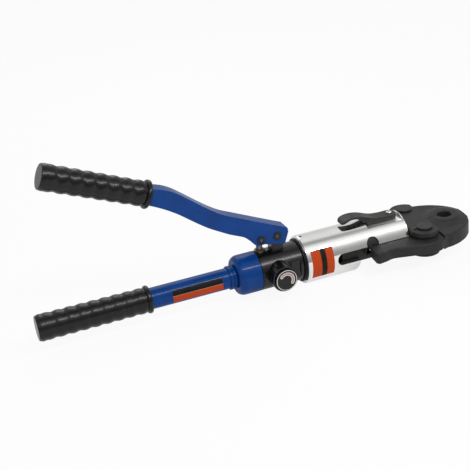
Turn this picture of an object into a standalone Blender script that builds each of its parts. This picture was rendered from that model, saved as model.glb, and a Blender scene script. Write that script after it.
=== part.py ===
"""Hand-pumped hydraulic pipe press: reservoir handle, pump body, pump lever, turning head and jaws.

Frame: metres, origin at the centre of the lower grip's butt face. +X runs along the tool to the
jaw tips, +Z points up towards the pump lever, and +Y points away from the release knob.
"""

import math

import bmesh
import bpy
from mathutils import Matrix, Vector

# Clearances
SEAT = 0.0003            # gap between two pieces that touch on the real tool
RUN = 0.0003             # radial gap of a turning or sliding fit
WELD = 0.000002          # points closer than this are one point

# Facets
FINE = 36                # sides of the large round pieces
MEDIUM = 20
SMALL = 12

# Lengths along the tool, butt to head
GRIP_LENGTH = 0.118
TUBE_EXPOSED = 0.083
COLLAR_LENGTH = 0.0067
CAP_LENGTH = 0.0298
BODY_LENGTH = 0.0446
RING_LENGTH = 0.0037
SLEEVE_LENGTH = 0.1225

# Lower handle
TUBE_RADIUS = 0.012
TUBE_WALL = 0.002
GRIP_RADIUS = 0.0142
GRIP_FLANGE_RADIUS = 0.0162
GRIP_FLANGE_LENGTH = 0.005
GRIP_END_RADIUS = 0.0128
GRIP_BUTT_WALL = 0.004
GRIP_RIBS = 8
GRIP_RIB_DEPTH = 0.0011
BLADDER_CLEARANCE = 0.0006
COLLAR_RADIUS = 0.0142
COLLAR_GROOVE = 0.0008

# Reservoir cap
CAP_RADIUS = 0.0233
CAP_SHOULDER_RADIUS = 0.0150
CAP_SHOULDER_LENGTH = 0.0090
CAP_TUBE_DEPTH = 0.0125

# Pump body
BODY_RADIUS = 0.0225
BODY_TAIL_RADIUS = 0.0170
BODY_TAIL_LENGTH = 0.0120
BODY_FLAT_DEPTH = 0.0021
BODY_FLAT_MARGIN = 0.0040
RING_RADIUS = 0.0260
SPIGOT_LENGTH = 0.0300
CYLINDER_RADIUS = 0.0150
CYLINDER_DEPTH = 0.0100      # how far the bore runs back behind the head's rear edge
LUG_HALF_WIDTH = 0.0056
LUG_RADIUS = 0.0062

# Pump lever, its pivot and the plunger
LEVER_PIVOT_BACK = 0.0251    # pivot behind the head's rear edge
LEVER_PIVOT_HEIGHT = 0.0382
PLUNGER_OFFSET = 0.0181      # plunger behind the pivot
LEVER_PIN_RADIUS = 0.0036
LEVER_PIN_HEAD_RADIUS = 0.0048
LEVER_PIN_HEAD = 0.0012
PLUNGER_RADIUS = 0.0034
PLUNGER_PIN_RADIUS = 0.0030
PLUNGER_STROKE_DOWN = 0.0085
PLUNGER_EYE_SLOT = 0.0022    # half play of the eye along X
PLUNGER_EYE_PLAY = 0.0006    # half play of the eye along Z
GLAND_RADIUS = 0.0050
GLAND_HEIGHT = 0.0016
VALVE_BALL_RADIUS = 0.0025
LEVER_HALF_WIDTH = 0.0088
LEVER_WALL = 0.0027
LEVER_TAIL_SLOPE = math.radians(23.0)
LEVER_TAIL_BACK = 0.1546     # tail joint behind the head's rear edge
LEVER_TAIL_HEIGHT = 0.1136
LEVER_TANG_LENGTH = 0.0780
LEVER_TANG_HEIGHT = 0.0140
LEVER_TANG_WIDTH = 0.0120
UPPER_GRIP_LENGTH = 0.1120

# Release knob
KNOB_BACK = 0.0300           # knob axis behind the head's rear edge
KNOB_RADIUS = 0.0120
KNOB_LENGTH = 0.0110
KNOB_FACE = 0.0380           # knob face out from the tool axis
KNOB_PROUD = 0.0030
KNOB_WALL = 0.0018
SPINDLE_RADIUS = 0.0035
SPINDLE_LENGTH = 0.0180

# Turning head
SLEEVE_RADIUS = 0.0265
SLEEVE_BORE = 0.0205
SLEEVE_BORE_DEPTH = 0.0980
SLEEVE_FLOOR_LENGTH = 0.0630     # lower half, along the slot edge
SLEEVE_FLOOR_SWEEP = 0.0080      # how far its end rounds back underneath
SLOT_START = 0.0350
SLOT_HALF_HEIGHT = 0.0067
NOTCH_AT = 0.0780
NOTCH_HEIGHT = 0.0087
NOTCH_RADIUS = 0.0072
LOCK_SCREW_AT = 0.0045
LOCK_SCREW_RADIUS = 0.0015
LOCK_GROOVE_DEPTH = 0.0014

# Ram and roller carriage
RAM_STROKE = 0.0200
ROLLER_AT = 0.0660
ROLLER_OFFSET = 0.0115
ROLLER_RADIUS = 0.0100
ROLLER_HALF_HEIGHT = 0.0060
ROLLER_PIN_RADIUS = 0.0030
CARRIAGE_REAR = 0.0430
CARRIAGE_FRONT = 0.0820
CARRIAGE_HALF_HEIGHT = 0.0125
CARRIAGE_NOSE_LENGTH = 0.0070
ROD_RADIUS = 0.0080
ROD_SOCKET = 0.0070
PISTON_LENGTH = 0.0120
PISTON_GROOVE = 0.0020
CYLINDER_CAP_LENGTH = 0.0050
SPRING_WIRE = 0.0006
SPRING_RADIUS = 0.0045
SPRING_TURNS = 6
SPRING_LENGTH = 0.0200

# Jaw set
JAW_PIVOT_AHEAD = 0.0190         # pivots ahead of the sleeve's front edge
JAW_PIVOT_OFFSET = 0.0264
JAW_PIN_RADIUS = 0.0060
JAW_PIN_HEAD_RADIUS = 0.0087
JAW_PIN_HEAD = 0.0013
BORE_AHEAD = 0.0365              # die bore ahead of the pivots
BORE_RADIUS = 0.0080
TIP_AHEAD = 0.0232               # jaw tips ahead of the bore
JAW_PARTING = 0.00015            # half gap between the closed jaws
JAW_TOE = 0.0006                 # how far the tail's toe reaches behind its cam
ARM_HALF_HEIGHT = 0.0060
PAD_HALF_HEIGHT = 0.0080
PAD_RADIUS = 0.0146
JAW_HALF_WIDTH = 0.0516          # from the tool axis to the arm's widest place
HEAD_HALF_HEIGHT = 0.0120
HEAD_EDGE_HALF_HEIGHT = 0.0084
HEAD_TOP_RADIUS = 0.0165
HEAD_SLOPE_RADIUS = 0.0270
SHOULDER_AHEAD = 0.0150          # thick head starts this far ahead of the pivots
PLATE_THICKNESS = 0.0057
PLATE_LOBE_RADIUS = 0.0164
PLATE_FRONT = 0.0125             # straight front edge ahead of the pivots
PLATE_TONGUE_HALF_WIDTH = 0.0170
PLATE_TONGUE_BACK = 0.0075       # tongue's rear edge behind the retaining pin
MOUTH_PLAY = 0.0016              # beside the tongue, so that the jaw set can turn on its pin
JAW_SET_TURN = 5.0               # degrees the resting jaw set is turned towards the knob's side
CLIP_THICKNESS = 0.0006
CLIP_WIDTH = 0.0022
SPACER_RADIUS = 0.0070

# Latch
PIN_BACK = 0.0108                # retaining pin behind the sleeve's front edge
PIN_RADIUS = 0.0045
POCKET_FLOOR = 0.0223            # height of the milled flat above the tool axis
POCKET_LENGTH = 0.0415
LATCH_HALF_WIDTH = 0.0075
LATCH_REACH = 0.0612
LATCH_CREST = 0.0358
LATCH_CORNER = 0.0045
LATCH_SCREW_HEAD_RADIUS = 0.0033
LATCH_SCREW_HEAD = 0.0014
LATCH_SCREW_RADIUS = 0.0017
LATCH_SCREW_LENGTH = 0.0120

# Places along X that follow from the lengths
GRIP_FRONT_X = GRIP_LENGTH
COLLAR_X = GRIP_FRONT_X + TUBE_EXPOSED
CAP_X = COLLAR_X + COLLAR_LENGTH + SEAT
BODY_X = CAP_X + CAP_LENGTH + SEAT
RING_X = BODY_X + BODY_LENGTH + SEAT
HEAD_X = RING_X + RING_LENGTH + SEAT
SLEEVE_FRONT_X = HEAD_X + SLEEVE_LENGTH
JAW_PIVOT_X = SLEEVE_FRONT_X + JAW_PIVOT_AHEAD
BORE_X = JAW_PIVOT_X + BORE_AHEAD
TIP_X = BORE_X + TIP_AHEAD
PIN_X = SLEEVE_FRONT_X - PIN_BACK
KNOB_X = HEAD_X - KNOB_BACK
LEVER_PIVOT = Vector((HEAD_X - LEVER_PIVOT_BACK, 0.0, LEVER_PIVOT_HEIGHT))
PLUNGER_X = LEVER_PIVOT.x - PLUNGER_OFFSET
LEVER_TAIL = Vector((HEAD_X - LEVER_TAIL_BACK, 0.0, LEVER_TAIL_HEIGHT))
PLATE_INNER = PAD_HALF_HEIGHT + SEAT
PLATE_OUTER = PLATE_INNER + PLATE_THICKNESS
MOUTH_HALF_WIDTH = PLATE_TONGUE_HALF_WIDTH + MOUTH_PLAY

ALONG_X = Matrix.Identity(4)
ALONG_Z = Matrix.Rotation(math.radians(-90.0), 4, "Y")
ALONG_MINUS_Y = Matrix.Rotation(math.radians(-90.0), 4, "Z")


def clear_scene():
    """Remove whatever the open file holds."""
    for item in list(bpy.data.objects):
        bpy.data.objects.remove(item)


def make_material(name, colour, roughness, metallic):
    """Plain shaded material with one colour."""
    material = bpy.data.materials.new(name)
    material.use_nodes = True
    shader = material.node_tree.nodes["Principled BSDF"]
    shader.inputs["Base Color"].default_value = (*colour, 1.0)
    shader.inputs["Roughness"].default_value = roughness
    shader.inputs["Metallic"].default_value = metallic
    material.diffuse_color = (*colour, 1.0)
    return material


def finish(bm, name, material):
    """Turn a bmesh into a named object with smooth round faces and sharp edges."""
    bmesh.ops.recalc_face_normals(bm, faces=bm.faces)
    if bm.calc_volume(signed=True) < 0.0:
        bmesh.ops.reverse_faces(bm, faces=bm.faces)
    mesh = bpy.data.meshes.new(name)
    bm.to_mesh(mesh)
    bm.free()
    mesh.materials.append(material)
    mesh.shade_smooth()
    mesh.set_sharp_from_angle(angle=math.radians(35.0))
    part = bpy.data.objects.new(name, mesh)
    bpy.context.collection.objects.link(part)
    return part


def turned(name, profile, steps, material, axis=ALONG_X, centre=(0.0, 0.0, 0.0)):
    """Spin a profile of (along, radius) points about an axis; ends on the axis stay open."""
    bm = bmesh.new()
    verts = [bm.verts.new((along, radius, 0.0)) for along, radius in profile]
    edges = [bm.edges.new(pair) for pair in zip(verts, verts[1:])]
    solid_core = profile[0][1] == 0.0 and profile[-1][1] == 0.0
    if not solid_core:
        edges.append(bm.edges.new((verts[-1], verts[0])))
    bmesh.ops.spin(bm, geom=verts + edges, axis=(1.0, 0.0, 0.0), angle=math.tau, steps=steps, use_merge=True)
    bmesh.ops.remove_doubles(bm, verts=bm.verts, dist=1e-7)
    half_facet = Matrix.Rotation(math.pi / steps, 4, "X")
    bm.transform(Matrix.Translation(Vector(centre)) @ axis @ half_facet)
    return finish(bm, name, material)


def rod(name, start, end, radius, steps, material, axis=ALONG_X, centre=(0.0, 0.0, 0.0), chamfer=0.0):
    """Solid round bar along an axis, with an optional chamfer at both ends."""
    profile = [(start, 0.0), (start, radius - chamfer)]
    if chamfer:
        profile += [(start + chamfer, radius), (end - chamfer, radius)]
    profile += [(end, radius - chamfer), (end, 0.0)]
    return turned(name, profile, steps, material, axis, centre)


def tube(name, start, end, inner, outer, steps, material, axis=ALONG_X, centre=(0.0, 0.0, 0.0)):
    """Plain ring or tube along an axis."""
    profile = [(start, inner), (start, outer), (end, outer), (end, inner)]
    return turned(name, profile, steps, material, axis, centre)


def prism(name, outline, normal, low, high, material):
    """Extrude a flat outline between two heights along Z (a plan) or Y (a side view)."""
    bm = bmesh.new()
    if normal == "Z":
        points = [Vector((u, v, low)) for u, v in outline]
        travel = Vector((0.0, 0.0, high - low))
    else:
        points = [Vector((u, low, v)) for u, v in outline]
        travel = Vector((0.0, high - low, 0.0))
    face = bm.faces.new([bm.verts.new(point) for point in points])
    grown = bmesh.ops.extrude_face_region(bm, geom=[face])["geom"]
    moved = [item for item in grown if isinstance(item, bmesh.types.BMVert)]
    bmesh.ops.translate(bm, verts=moved, vec=travel)
    return finish(bm, name, material)


def block(name, low, high, material):
    """Box between two corners."""
    bm = bmesh.new()
    low, high = Vector(low), Vector(high)
    middle = (low + high) / 2.0
    size = Matrix.Diagonal((*(high - low), 1.0))
    bmesh.ops.create_cube(bm, size=1.0, matrix=Matrix.Translation(middle) @ size)
    return finish(bm, name, material)


def boolean(target, operation, *tools):
    """Apply exact booleans one by one, welding after each, and remove the tool shapes."""
    for tool in tools:
        tool.hide_render = True
        tool.display_type = "WIRE"
        modifier = target.modifiers.new(operation.title(), "BOOLEAN")
        modifier.operation = operation
        modifier.solver = "EXACT"
        modifier.object = tool
        bpy.context.view_layer.update()
        graph = bpy.context.evaluated_depsgraph_get()
        mesh = bpy.data.meshes.new_from_object(target.evaluated_get(graph))
        target.modifiers.clear()
        weld(mesh)
        target.data = mesh
        mesh.name = target.name
        bpy.data.objects.remove(tool)
    return target


def weld(mesh):
    """Merge the coincident points that a cut leaves behind."""
    bm = bmesh.new()
    bm.from_mesh(mesh)
    bmesh.ops.remove_doubles(bm, verts=bm.verts, dist=WELD)
    bmesh.ops.dissolve_degenerate(bm, edges=bm.edges, dist=WELD)
    bm.to_mesh(mesh)
    bm.free()


def arc(centre, radius, start, end, count):
    """Points on an arc, angles in degrees, both ends included."""
    angles = [math.radians(start + (end - start) * step / count) for step in range(count + 1)]
    return [(centre[0] + radius * math.cos(a), centre[1] + radius * math.sin(a)) for a in angles]


def smooth_path(points, per_span):
    """Catmull-Rom curve through the points, ends included."""
    guides = [points[0], *points, points[-1]]
    path = []
    for index in range(len(points) - 1):
        p0, p1, p2, p3 = (Vector(guide) for guide in guides[index:index + 4])
        for step in range(per_span):
            t = step / per_span
            point = 0.5 * (2 * p1 + (p2 - p0) * t + (2 * p0 - 5 * p1 + 4 * p2 - p3) * t ** 2
                           + (3 * p1 - p0 - 3 * p2 + p3) * t ** 3)
            path.append((point.x, point.y))
    return path + [tuple(points[-1])]


def pivot(name, place, parent=None):
    """Empty on a joint's axis."""
    empty = bpy.data.objects.new(name, None)
    bpy.context.collection.objects.link(empty)
    empty["place"] = Vector(place)
    empty.location = Vector(place) - (Vector(parent["place"]) if parent else Vector())
    empty.parent = parent
    return empty


def hang(on, *parts):
    """Move each part's origin to the pivot and parent it there, without moving its shape."""
    for part in parts:
        part.data.transform(Matrix.Translation(-Vector(on["place"])))
        part.parent = on


# Lower handle

def grip_profile(length):
    """Outer profile of a rubber grip: flat butt, soft finger ribs and a flange at the mouth."""
    profile = [(0.0, GRIP_END_RADIUS - 0.0012), (0.0008, GRIP_END_RADIUS), (0.0040, GRIP_RADIUS)]
    ribbed = length - 0.0040 - GRIP_FLANGE_LENGTH - 0.0040
    samples = GRIP_RIBS * 4
    for step in range(1, samples + 1):
        wave = 0.5 - 0.5 * math.cos(math.tau * step / 4)
        profile.append((0.0040 + ribbed * step / samples, GRIP_RADIUS - GRIP_RIB_DEPTH * wave))
    mouth = length - GRIP_FLANGE_LENGTH
    return profile + [(mouth, GRIP_FLANGE_RADIUS - 0.0012), (mouth + 0.0010, GRIP_FLANGE_RADIUS),
                      (length - 0.0010, GRIP_FLANGE_RADIUS), (length, GRIP_FLANGE_RADIUS - 0.0012)]


def build_lower_handle(rubber, painted, inner_rubber):
    """Grip, reservoir tube, oil bladder, collar and cap."""
    bore = TUBE_RADIUS + SEAT
    profile = [(0.0, 0.0), *grip_profile(GRIP_LENGTH), (GRIP_LENGTH, bore),
               (GRIP_BUTT_WALL, bore), (GRIP_BUTT_WALL, 0.0)]
    turned("lower_grip", profile, MEDIUM, rubber)
    tube_start = GRIP_BUTT_WALL + SEAT
    tube_end = CAP_X + CAP_TUBE_DEPTH - SEAT
    tube("reservoir_tube", tube_start, tube_end, TUBE_RADIUS - TUBE_WALL, TUBE_RADIUS, MEDIUM, painted)
    radius = TUBE_RADIUS - TUBE_WALL - BLADDER_CLEARANCE
    start, end = tube_start + SEAT, tube_end - SEAT
    profile = [(start, 0.0), (start + radius * 0.15, radius * 0.6), (start + radius * 0.6, radius),
               (end - radius * 0.6, radius), (end - radius * 0.15, radius * 0.6), (end, 0.0)]
    turned("oil_bladder", profile, SMALL, inner_rubber)
    middle = COLLAR_X + COLLAR_LENGTH / 2
    profile = [(COLLAR_X, bore), (COLLAR_X, COLLAR_RADIUS - 0.0008), (COLLAR_X + 0.0008, COLLAR_RADIUS),
               (middle - 0.0006, COLLAR_RADIUS), (middle, COLLAR_RADIUS - COLLAR_GROOVE),
               (middle + 0.0006, COLLAR_RADIUS), (COLLAR_X + COLLAR_LENGTH, COLLAR_RADIUS),
               (COLLAR_X + COLLAR_LENGTH, bore)]
    turned("tube_collar", profile, MEDIUM, painted)
    build_cap(painted, bore)


def build_cap(painted, bore):
    """Blue cap that screws over the body's tail; its rear shoulder rounds down to the tube."""
    front = CAP_X + CAP_LENGTH
    rise = CAP_RADIUS - CAP_SHOULDER_RADIUS
    shoulder = [(CAP_X + CAP_SHOULDER_LENGTH * (1 - math.cos(a)), CAP_SHOULDER_RADIUS + rise * math.sin(a))
                for a in (math.radians(90.0 * step / 6) for step in range(7))]
    socket = BODY_TAIL_RADIUS + SEAT
    socket_start = front - BODY_TAIL_LENGTH - SEAT
    profile = [(CAP_X, bore), *shoulder, (front - 0.0008, CAP_RADIUS), (front, CAP_RADIUS - 0.0008),
               (front, socket), (socket_start, socket), (socket_start, bore)]
    turned("reservoir_cap", profile, FINE, painted)


# Pump body

def build_pump_body(blacked, steel, bronze, rubber, chrome):
    """Black body with lever lug, knob boss, cylinder spigot and the fixed small pieces."""
    front = BODY_X + BODY_LENGTH
    spigot = SLEEVE_BORE - RUN
    spigot_end = HEAD_X + SPIGOT_LENGTH
    groove = HEAD_X + LOCK_SCREW_AT
    groove_radius = spigot - LOCK_GROOVE_DEPTH
    tail_end = BODY_X - BODY_TAIL_LENGTH
    profile = [(tail_end, 0.0), (tail_end, BODY_TAIL_RADIUS), (BODY_X, BODY_TAIL_RADIUS),
               (BODY_X, BODY_RADIUS - 0.0006), (BODY_X + 0.0006, BODY_RADIUS),
               (front - 0.0006, BODY_RADIUS), (front, BODY_RADIUS - 0.0006), (front, spigot),
               (groove - 0.0020, spigot), (groove - 0.0020, groove_radius),
               (groove + 0.0020, groove_radius), (groove + 0.0020, spigot),
               (spigot_end - 0.0005, spigot), (spigot_end, spigot - 0.0005), (spigot_end, 0.0)]
    body = turned("pump_body", profile, FINE, blacked)
    boolean(body, "UNION", make_lug(blacked), make_boss(blacked))
    bore_start = HEAD_X - CYLINDER_DEPTH
    bore = rod("bore", bore_start, spigot_end + 0.001, CYLINDER_RADIUS, FINE, blacked)
    flat_y = BODY_RADIUS - BODY_FLAT_DEPTH
    flat = block("flat", (KNOB_X + KNOB_RADIUS + KNOB_WALL + SEAT, -BODY_RADIUS - 0.001, -BODY_RADIUS),
                 (front - BODY_FLAT_MARGIN, -flat_y, BODY_RADIUS), blacked)
    knob_floor = KNOB_FACE - KNOB_LENGTH - SEAT
    spindle_end = KNOB_FACE - KNOB_LENGTH - SPINDLE_LENGTH
    valve_floor = spindle_end - 2 * VALVE_BALL_RADIUS - 2 * SEAT
    knob_hole = turned("knob_hole", [(valve_floor, 0.0), (valve_floor, SPINDLE_RADIUS + RUN),
                                     (knob_floor, SPINDLE_RADIUS + RUN), (knob_floor, KNOB_RADIUS + RUN),
                                     (KNOB_FACE, KNOB_RADIUS + RUN), (KNOB_FACE, 0.0)], MEDIUM, blacked,
                       ALONG_MINUS_Y, (KNOB_X, 0.0, 0.0))
    plunger_floor = plunger_bottom() - PLUNGER_STROKE_DOWN - SEAT
    ball_floor = plunger_floor - 2 * VALVE_BALL_RADIUS - SEAT
    gland_floor = gland_bottom() - SEAT
    top = BODY_RADIUS + 0.02
    plunger_hole = turned("plunger_hole", [(ball_floor, 0.0), (ball_floor, VALVE_BALL_RADIUS + SEAT),
                                           (plunger_floor, VALVE_BALL_RADIUS + SEAT),
                                           (plunger_floor, PLUNGER_RADIUS + RUN),
                                           (gland_floor, PLUNGER_RADIUS + RUN),
                                           (gland_floor, GLAND_RADIUS + SEAT), (top, GLAND_RADIUS + SEAT),
                                           (top, 0.0)], SMALL, blacked, ALONG_Z, (PLUNGER_X, 0.0, 0.0))
    pin_hole = rod("pin_hole", -0.03, 0.03, LEVER_PIN_RADIUS + SEAT, SMALL, blacked, ALONG_MINUS_Y, LEVER_PIVOT)
    boolean(body, "DIFFERENCE", bore, flat, knob_hole, plunger_hole, pin_hole)

    tube("body_ring", RING_X, RING_X + RING_LENGTH, SLEEVE_BORE - RUN + SEAT, RING_RADIUS, FINE, rubber)
    gland_top = BODY_RADIUS + GLAND_HEIGHT
    tube("plunger_gland", gland_bottom(), gland_top, PLUNGER_RADIUS + RUN, GLAND_RADIUS, 12, bronze,
         ALONG_Z, (PLUNGER_X, 0.0, 0.0))
    ball = VALVE_BALL_RADIUS
    ball_profile = [(ball * -math.cos(a), ball * math.sin(a)) for a in
                    (math.radians(180.0 * step / 8) for step in range(1, 8))]
    ball_profile = [(-ball, 0.0), *ball_profile, (ball, 0.0)]
    turned("inlet_ball", ball_profile, 12, chrome, ALONG_Z, (PLUNGER_X, 0.0, plunger_floor - ball - SEAT / 2))
    turned("release_ball", ball_profile, 12, chrome, ALONG_MINUS_Y,
           (KNOB_X, -(spindle_end - ball - SEAT), 0.0))
    build_cross_pin("lever_pivot_pin", LEVER_PIVOT, LEVER_PIN_RADIUS, steel)
    cap_start = spigot_end - CYLINDER_CAP_LENGTH
    tube("cylinder_cap", cap_start, spigot_end, ROD_RADIUS + RUN, CYLINDER_RADIUS - SEAT, MEDIUM, steel)


def plunger_bottom():
    """Height of the plunger's lower end at rest."""
    return -0.0020


def gland_bottom():
    """Height of the gland's lower end, sunk into the body."""
    return BODY_RADIUS - 0.0050


def make_lug(material):
    """Upright lug that carries the lever's pivot pin."""
    sides = math.degrees(math.atan2(LUG_RADIUS, LEVER_PIVOT_HEIGHT - BODY_RADIUS))
    crown = arc((LEVER_PIVOT.x, LEVER_PIVOT.z), LUG_RADIUS, -sides / 2, 180.0 + sides / 4, 10)
    foot = BODY_RADIUS - 0.0060
    rear = LEVER_PIVOT.x - PLUNGER_OFFSET + GLAND_RADIUS + PLUNGER_EYE_SLOT + 2 * RUN
    outline = [(LEVER_PIVOT.x + LUG_RADIUS + 0.0015, foot), *crown, (rear, BODY_RADIUS + 0.0030), (rear, foot)]
    return prism("lug", outline, "Y", -LUG_HALF_WIDTH, LUG_HALF_WIDTH, material)


def make_boss(material):
    """Round boss on the side of the body that houses the release knob."""
    return rod("boss", BODY_RADIUS * 0.6, KNOB_FACE - KNOB_PROUD, KNOB_RADIUS + RUN + KNOB_WALL, MEDIUM,
               material, ALONG_MINUS_Y, (KNOB_X, 0.0, 0.0), chamfer=0.0005)


def build_cross_pin(name, centre, radius, material):
    """Pin across the lever's cheeks with a low head on each side."""
    cheek = LEVER_HALF_WIDTH + SEAT
    end = cheek + LEVER_PIN_HEAD
    head = LEVER_PIN_HEAD_RADIUS
    profile = [(-end, 0.0), (-end, head - 0.0004), (-end + 0.0004, head), (-cheek, head), (-cheek, radius),
               (cheek, radius), (cheek, head), (end - 0.0004, head), (end, head - 0.0004), (end, 0.0)]
    return turned(name, profile, SMALL, material, ALONG_MINUS_Y, centre)


# Release knob

def build_release_knob(blacked, steel):
    """Knob and spindle, turning about the cross axis of the boss."""
    axis = pivot("release_axis", (KNOB_X, 0.0, 0.0))
    start = KNOB_FACE - KNOB_LENGTH
    profile = [(start, 0.0), (start, KNOB_RADIUS), (KNOB_FACE - 0.0010, KNOB_RADIUS),
               (KNOB_FACE, KNOB_RADIUS - 0.0008), (KNOB_FACE, KNOB_RADIUS - 0.0018),
               (KNOB_FACE - 0.0004, KNOB_RADIUS - 0.0020), (KNOB_FACE - 0.0004, 0.0)]
    knob = turned("release_knob", profile, 36, blacked, ALONG_MINUS_Y, (KNOB_X, 0.0, 0.0))
    grip_cuts = []
    for index in range(12):
        angle = math.tau * (index + 0.5) / 12
        place = (KNOB_X + (KNOB_RADIUS + 0.0006) * math.cos(angle), 0.0, (KNOB_RADIUS + 0.0006) * math.sin(angle))
        grip_cuts.append(rod("flute", start - 0.001, KNOB_FACE - 0.0015, 0.0011, 8, blacked,
                             ALONG_MINUS_Y, place))
    boolean(knob, "DIFFERENCE", *grip_cuts)
    spindle = rod("release_spindle", start - SPINDLE_LENGTH, start - SEAT, SPINDLE_RADIUS, SMALL, steel,
                  ALONG_MINUS_Y, (KNOB_X, 0.0, 0.0), chamfer=0.0005)
    hang(axis, knob, spindle)


# Pump lever and plunger

def lever_outline():
    """Side view of the lever from its tail joint to its nose, offsets from the pivot pin."""
    tail = LEVER_TAIL - LEVER_PIVOT
    slope = Vector((-math.cos(LEVER_TAIL_SLOPE), 0.0, math.sin(LEVER_TAIL_SLOPE)))
    across = Vector((slope.z, 0.0, -slope.x))
    shoulder = tail - slope * SEAT
    half = 0.0086
    top_end = shoulder + across * half
    low_end = shoulder - across * half
    top = [(top_end.x, top_end.z), (-0.1141, 0.0793), (-0.1044, 0.0742), (-0.0948, 0.0670),
           (-0.0851, 0.0592), (-0.0753, 0.0513), (-0.0653, 0.0439), (-0.0551, 0.0374), (-0.0393, 0.0301),
           (-0.0233, 0.0227), (-0.0071, 0.0151), (0.0039, 0.0110)]
    nose = [(0.0088, 0.0106), (0.0108, 0.0085), (0.0113, 0.0018), (0.0071, -0.0065), (0.0046, -0.0088)]
    foot = [(-0.0150, -0.0055), (-0.0215, -0.0060), (-0.0258, -0.0037)]
    low = [(-0.0308, 0.0024), (-0.0360, 0.0073), (-0.0413, 0.0101), (-0.0519, 0.0149), (-0.0623, 0.0208),
           (-0.0726, 0.0269), (-0.0826, 0.0340), (-0.0925, 0.0417), (-0.1022, 0.0494), (-0.1119, 0.0561),
           (-0.1217, 0.0619), (low_end.x, low_end.z)]
    return top, nose, foot, low


def world_outline(points):
    """Side-view points given from the pivot pin, moved to the tool's frame."""
    return [(LEVER_PIVOT.x + u, LEVER_PIVOT.z + v) for u, v in points]


def build_pump_lever(painted, rubber, steel):
    """Folded steel lever, its grip and the pin that drives the plunger."""
    axis = pivot("lever_axis", LEVER_PIVOT)
    top, nose, foot, low = lever_outline()
    outline = world_outline(top + nose + foot + low)
    lever = prism("lever_channel", outline, "Y", -LEVER_HALF_WIDTH, LEVER_HALF_WIDTH, painted)
    inner_half = LEVER_HALF_WIDTH - LEVER_WALL
    under = [(u, v - LEVER_WALL) for u, v in top[1:]]
    hollow = world_outline(under + [(0.0088, 0.0106 - LEVER_WALL), (0.0250, 0.0060), (0.0250, -0.0300),
                                    (-0.0500, -0.0300), (-0.0700, 0.0050), (-0.1217, 0.0400)])
    boolean(lever, "DIFFERENCE", prism("hollow", hollow, "Y", -inner_half, inner_half, painted))
    tang = make_tang("tang", LEVER_TANG_LENGTH, LEVER_TANG_HEIGHT, LEVER_TANG_WIDTH, -0.004, painted)
    boolean(lever, "UNION", tang)
    plunger_pin_place = Vector((PLUNGER_X, 0.0, LEVER_PIVOT_HEIGHT))
    holes = [rod("hole", -0.03, 0.03, LEVER_PIN_RADIUS + RUN, SMALL, painted, ALONG_MINUS_Y, LEVER_PIVOT),
             rod("hole", -0.03, 0.03, PLUNGER_PIN_RADIUS + SEAT, SMALL, painted, ALONG_MINUS_Y,
                 plunger_pin_place)]
    boolean(lever, "DIFFERENCE", *holes)
    pin = build_cross_pin("plunger_pin", plunger_pin_place, PLUNGER_PIN_RADIUS, steel)
    hang(axis, lever, build_upper_grip(rubber), pin)


def make_tang(name, length, height, width, start, material):
    """Bar along the lever's tail axis, from `start` past the tail joint."""
    bm = bmesh.new()
    size = Matrix.Diagonal((length - start, width, height, 1.0))
    tilt = Matrix.Rotation(math.pi + LEVER_TAIL_SLOPE, 4, "Y")
    offset = Matrix.Translation((start + (length - start) / 2, 0.0, 0.0))
    bmesh.ops.create_cube(bm, size=1.0, matrix=Matrix.Translation(LEVER_TAIL) @ tilt @ offset @ size)
    return finish(bm, name, material)


def build_upper_grip(rubber):
    """Rubber grip on the lever's tang, its mouth at the tail joint."""
    outer = [(UPPER_GRIP_LENGTH - along, radius) for along, radius in reversed(grip_profile(UPPER_GRIP_LENGTH))]
    profile = [(0.0, 0.0), *outer, (UPPER_GRIP_LENGTH, 0.0)]
    tilt = Matrix.Rotation(math.pi + LEVER_TAIL_SLOPE, 4, "Y")
    grip = turned("upper_grip", profile, MEDIUM, rubber, tilt, LEVER_TAIL)
    socket = make_tang("socket", LEVER_TANG_LENGTH + SEAT, LEVER_TANG_HEIGHT + 2 * SEAT,
                       LEVER_TANG_WIDTH + 2 * SEAT, -0.004, rubber)
    return boolean(grip, "DIFFERENCE", socket)


def build_plunger(steel):
    """Pump plunger: round ram with a slotted eye that the lever's pin lifts and pushes."""
    axis = pivot("plunger_axis", (PLUNGER_X, 0.0, 0.0))
    eye_half = LEVER_HALF_WIDTH - LEVER_WALL - RUN - 0.0008
    reach = PLUNGER_PIN_RADIUS + PLUNGER_EYE_SLOT
    rise = PLUNGER_PIN_RADIUS + PLUNGER_EYE_PLAY
    wall = 0.0016
    middle = LEVER_PIVOT_HEIGHT
    ram = rod("pump_plunger", plunger_bottom(), middle - rise, PLUNGER_RADIUS, SMALL, steel, ALONG_Z,
              (PLUNGER_X, 0.0, 0.0), chamfer=0.0004)
    head = rise + wall
    right = arc((PLUNGER_X + reach - rise, middle), head, -90.0, 90.0, 8)
    left = arc((PLUNGER_X - reach + rise, middle), head, 90.0, 270.0, 8)
    eye = prism("eye", right + left, "Y", -eye_half, eye_half, steel)
    boolean(ram, "UNION", eye)
    right = arc((PLUNGER_X + reach - rise, middle), rise, -90.0, 90.0, 8)
    left = arc((PLUNGER_X - reach + rise, middle), rise, 90.0, 270.0, 8)
    boolean(ram, "DIFFERENCE", prism("eye_slot", right + left, "Y", -0.02, 0.02, steel))
    hang(axis, ram)


# Turning head

def build_head(polished, blacked):
    """Slotted sleeve and its lock screw."""
    axis = pivot("head_axis", (HEAD_X, 0.0, 0.0))
    parts = [build_sleeve(polished)]
    screw_place = (HEAD_X + LOCK_SCREW_AT, 0.0, 0.0)
    screw_foot = SLEEVE_BORE - RUN - LOCK_GROOVE_DEPTH + SEAT
    parts.append(rod("head_lock_screw", screw_foot, SLEEVE_RADIUS - 0.0012, LOCK_SCREW_RADIUS - SEAT, 12,
                     blacked, ALONG_Z, screw_place))
    hang(axis, *parts)
    return axis


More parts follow.
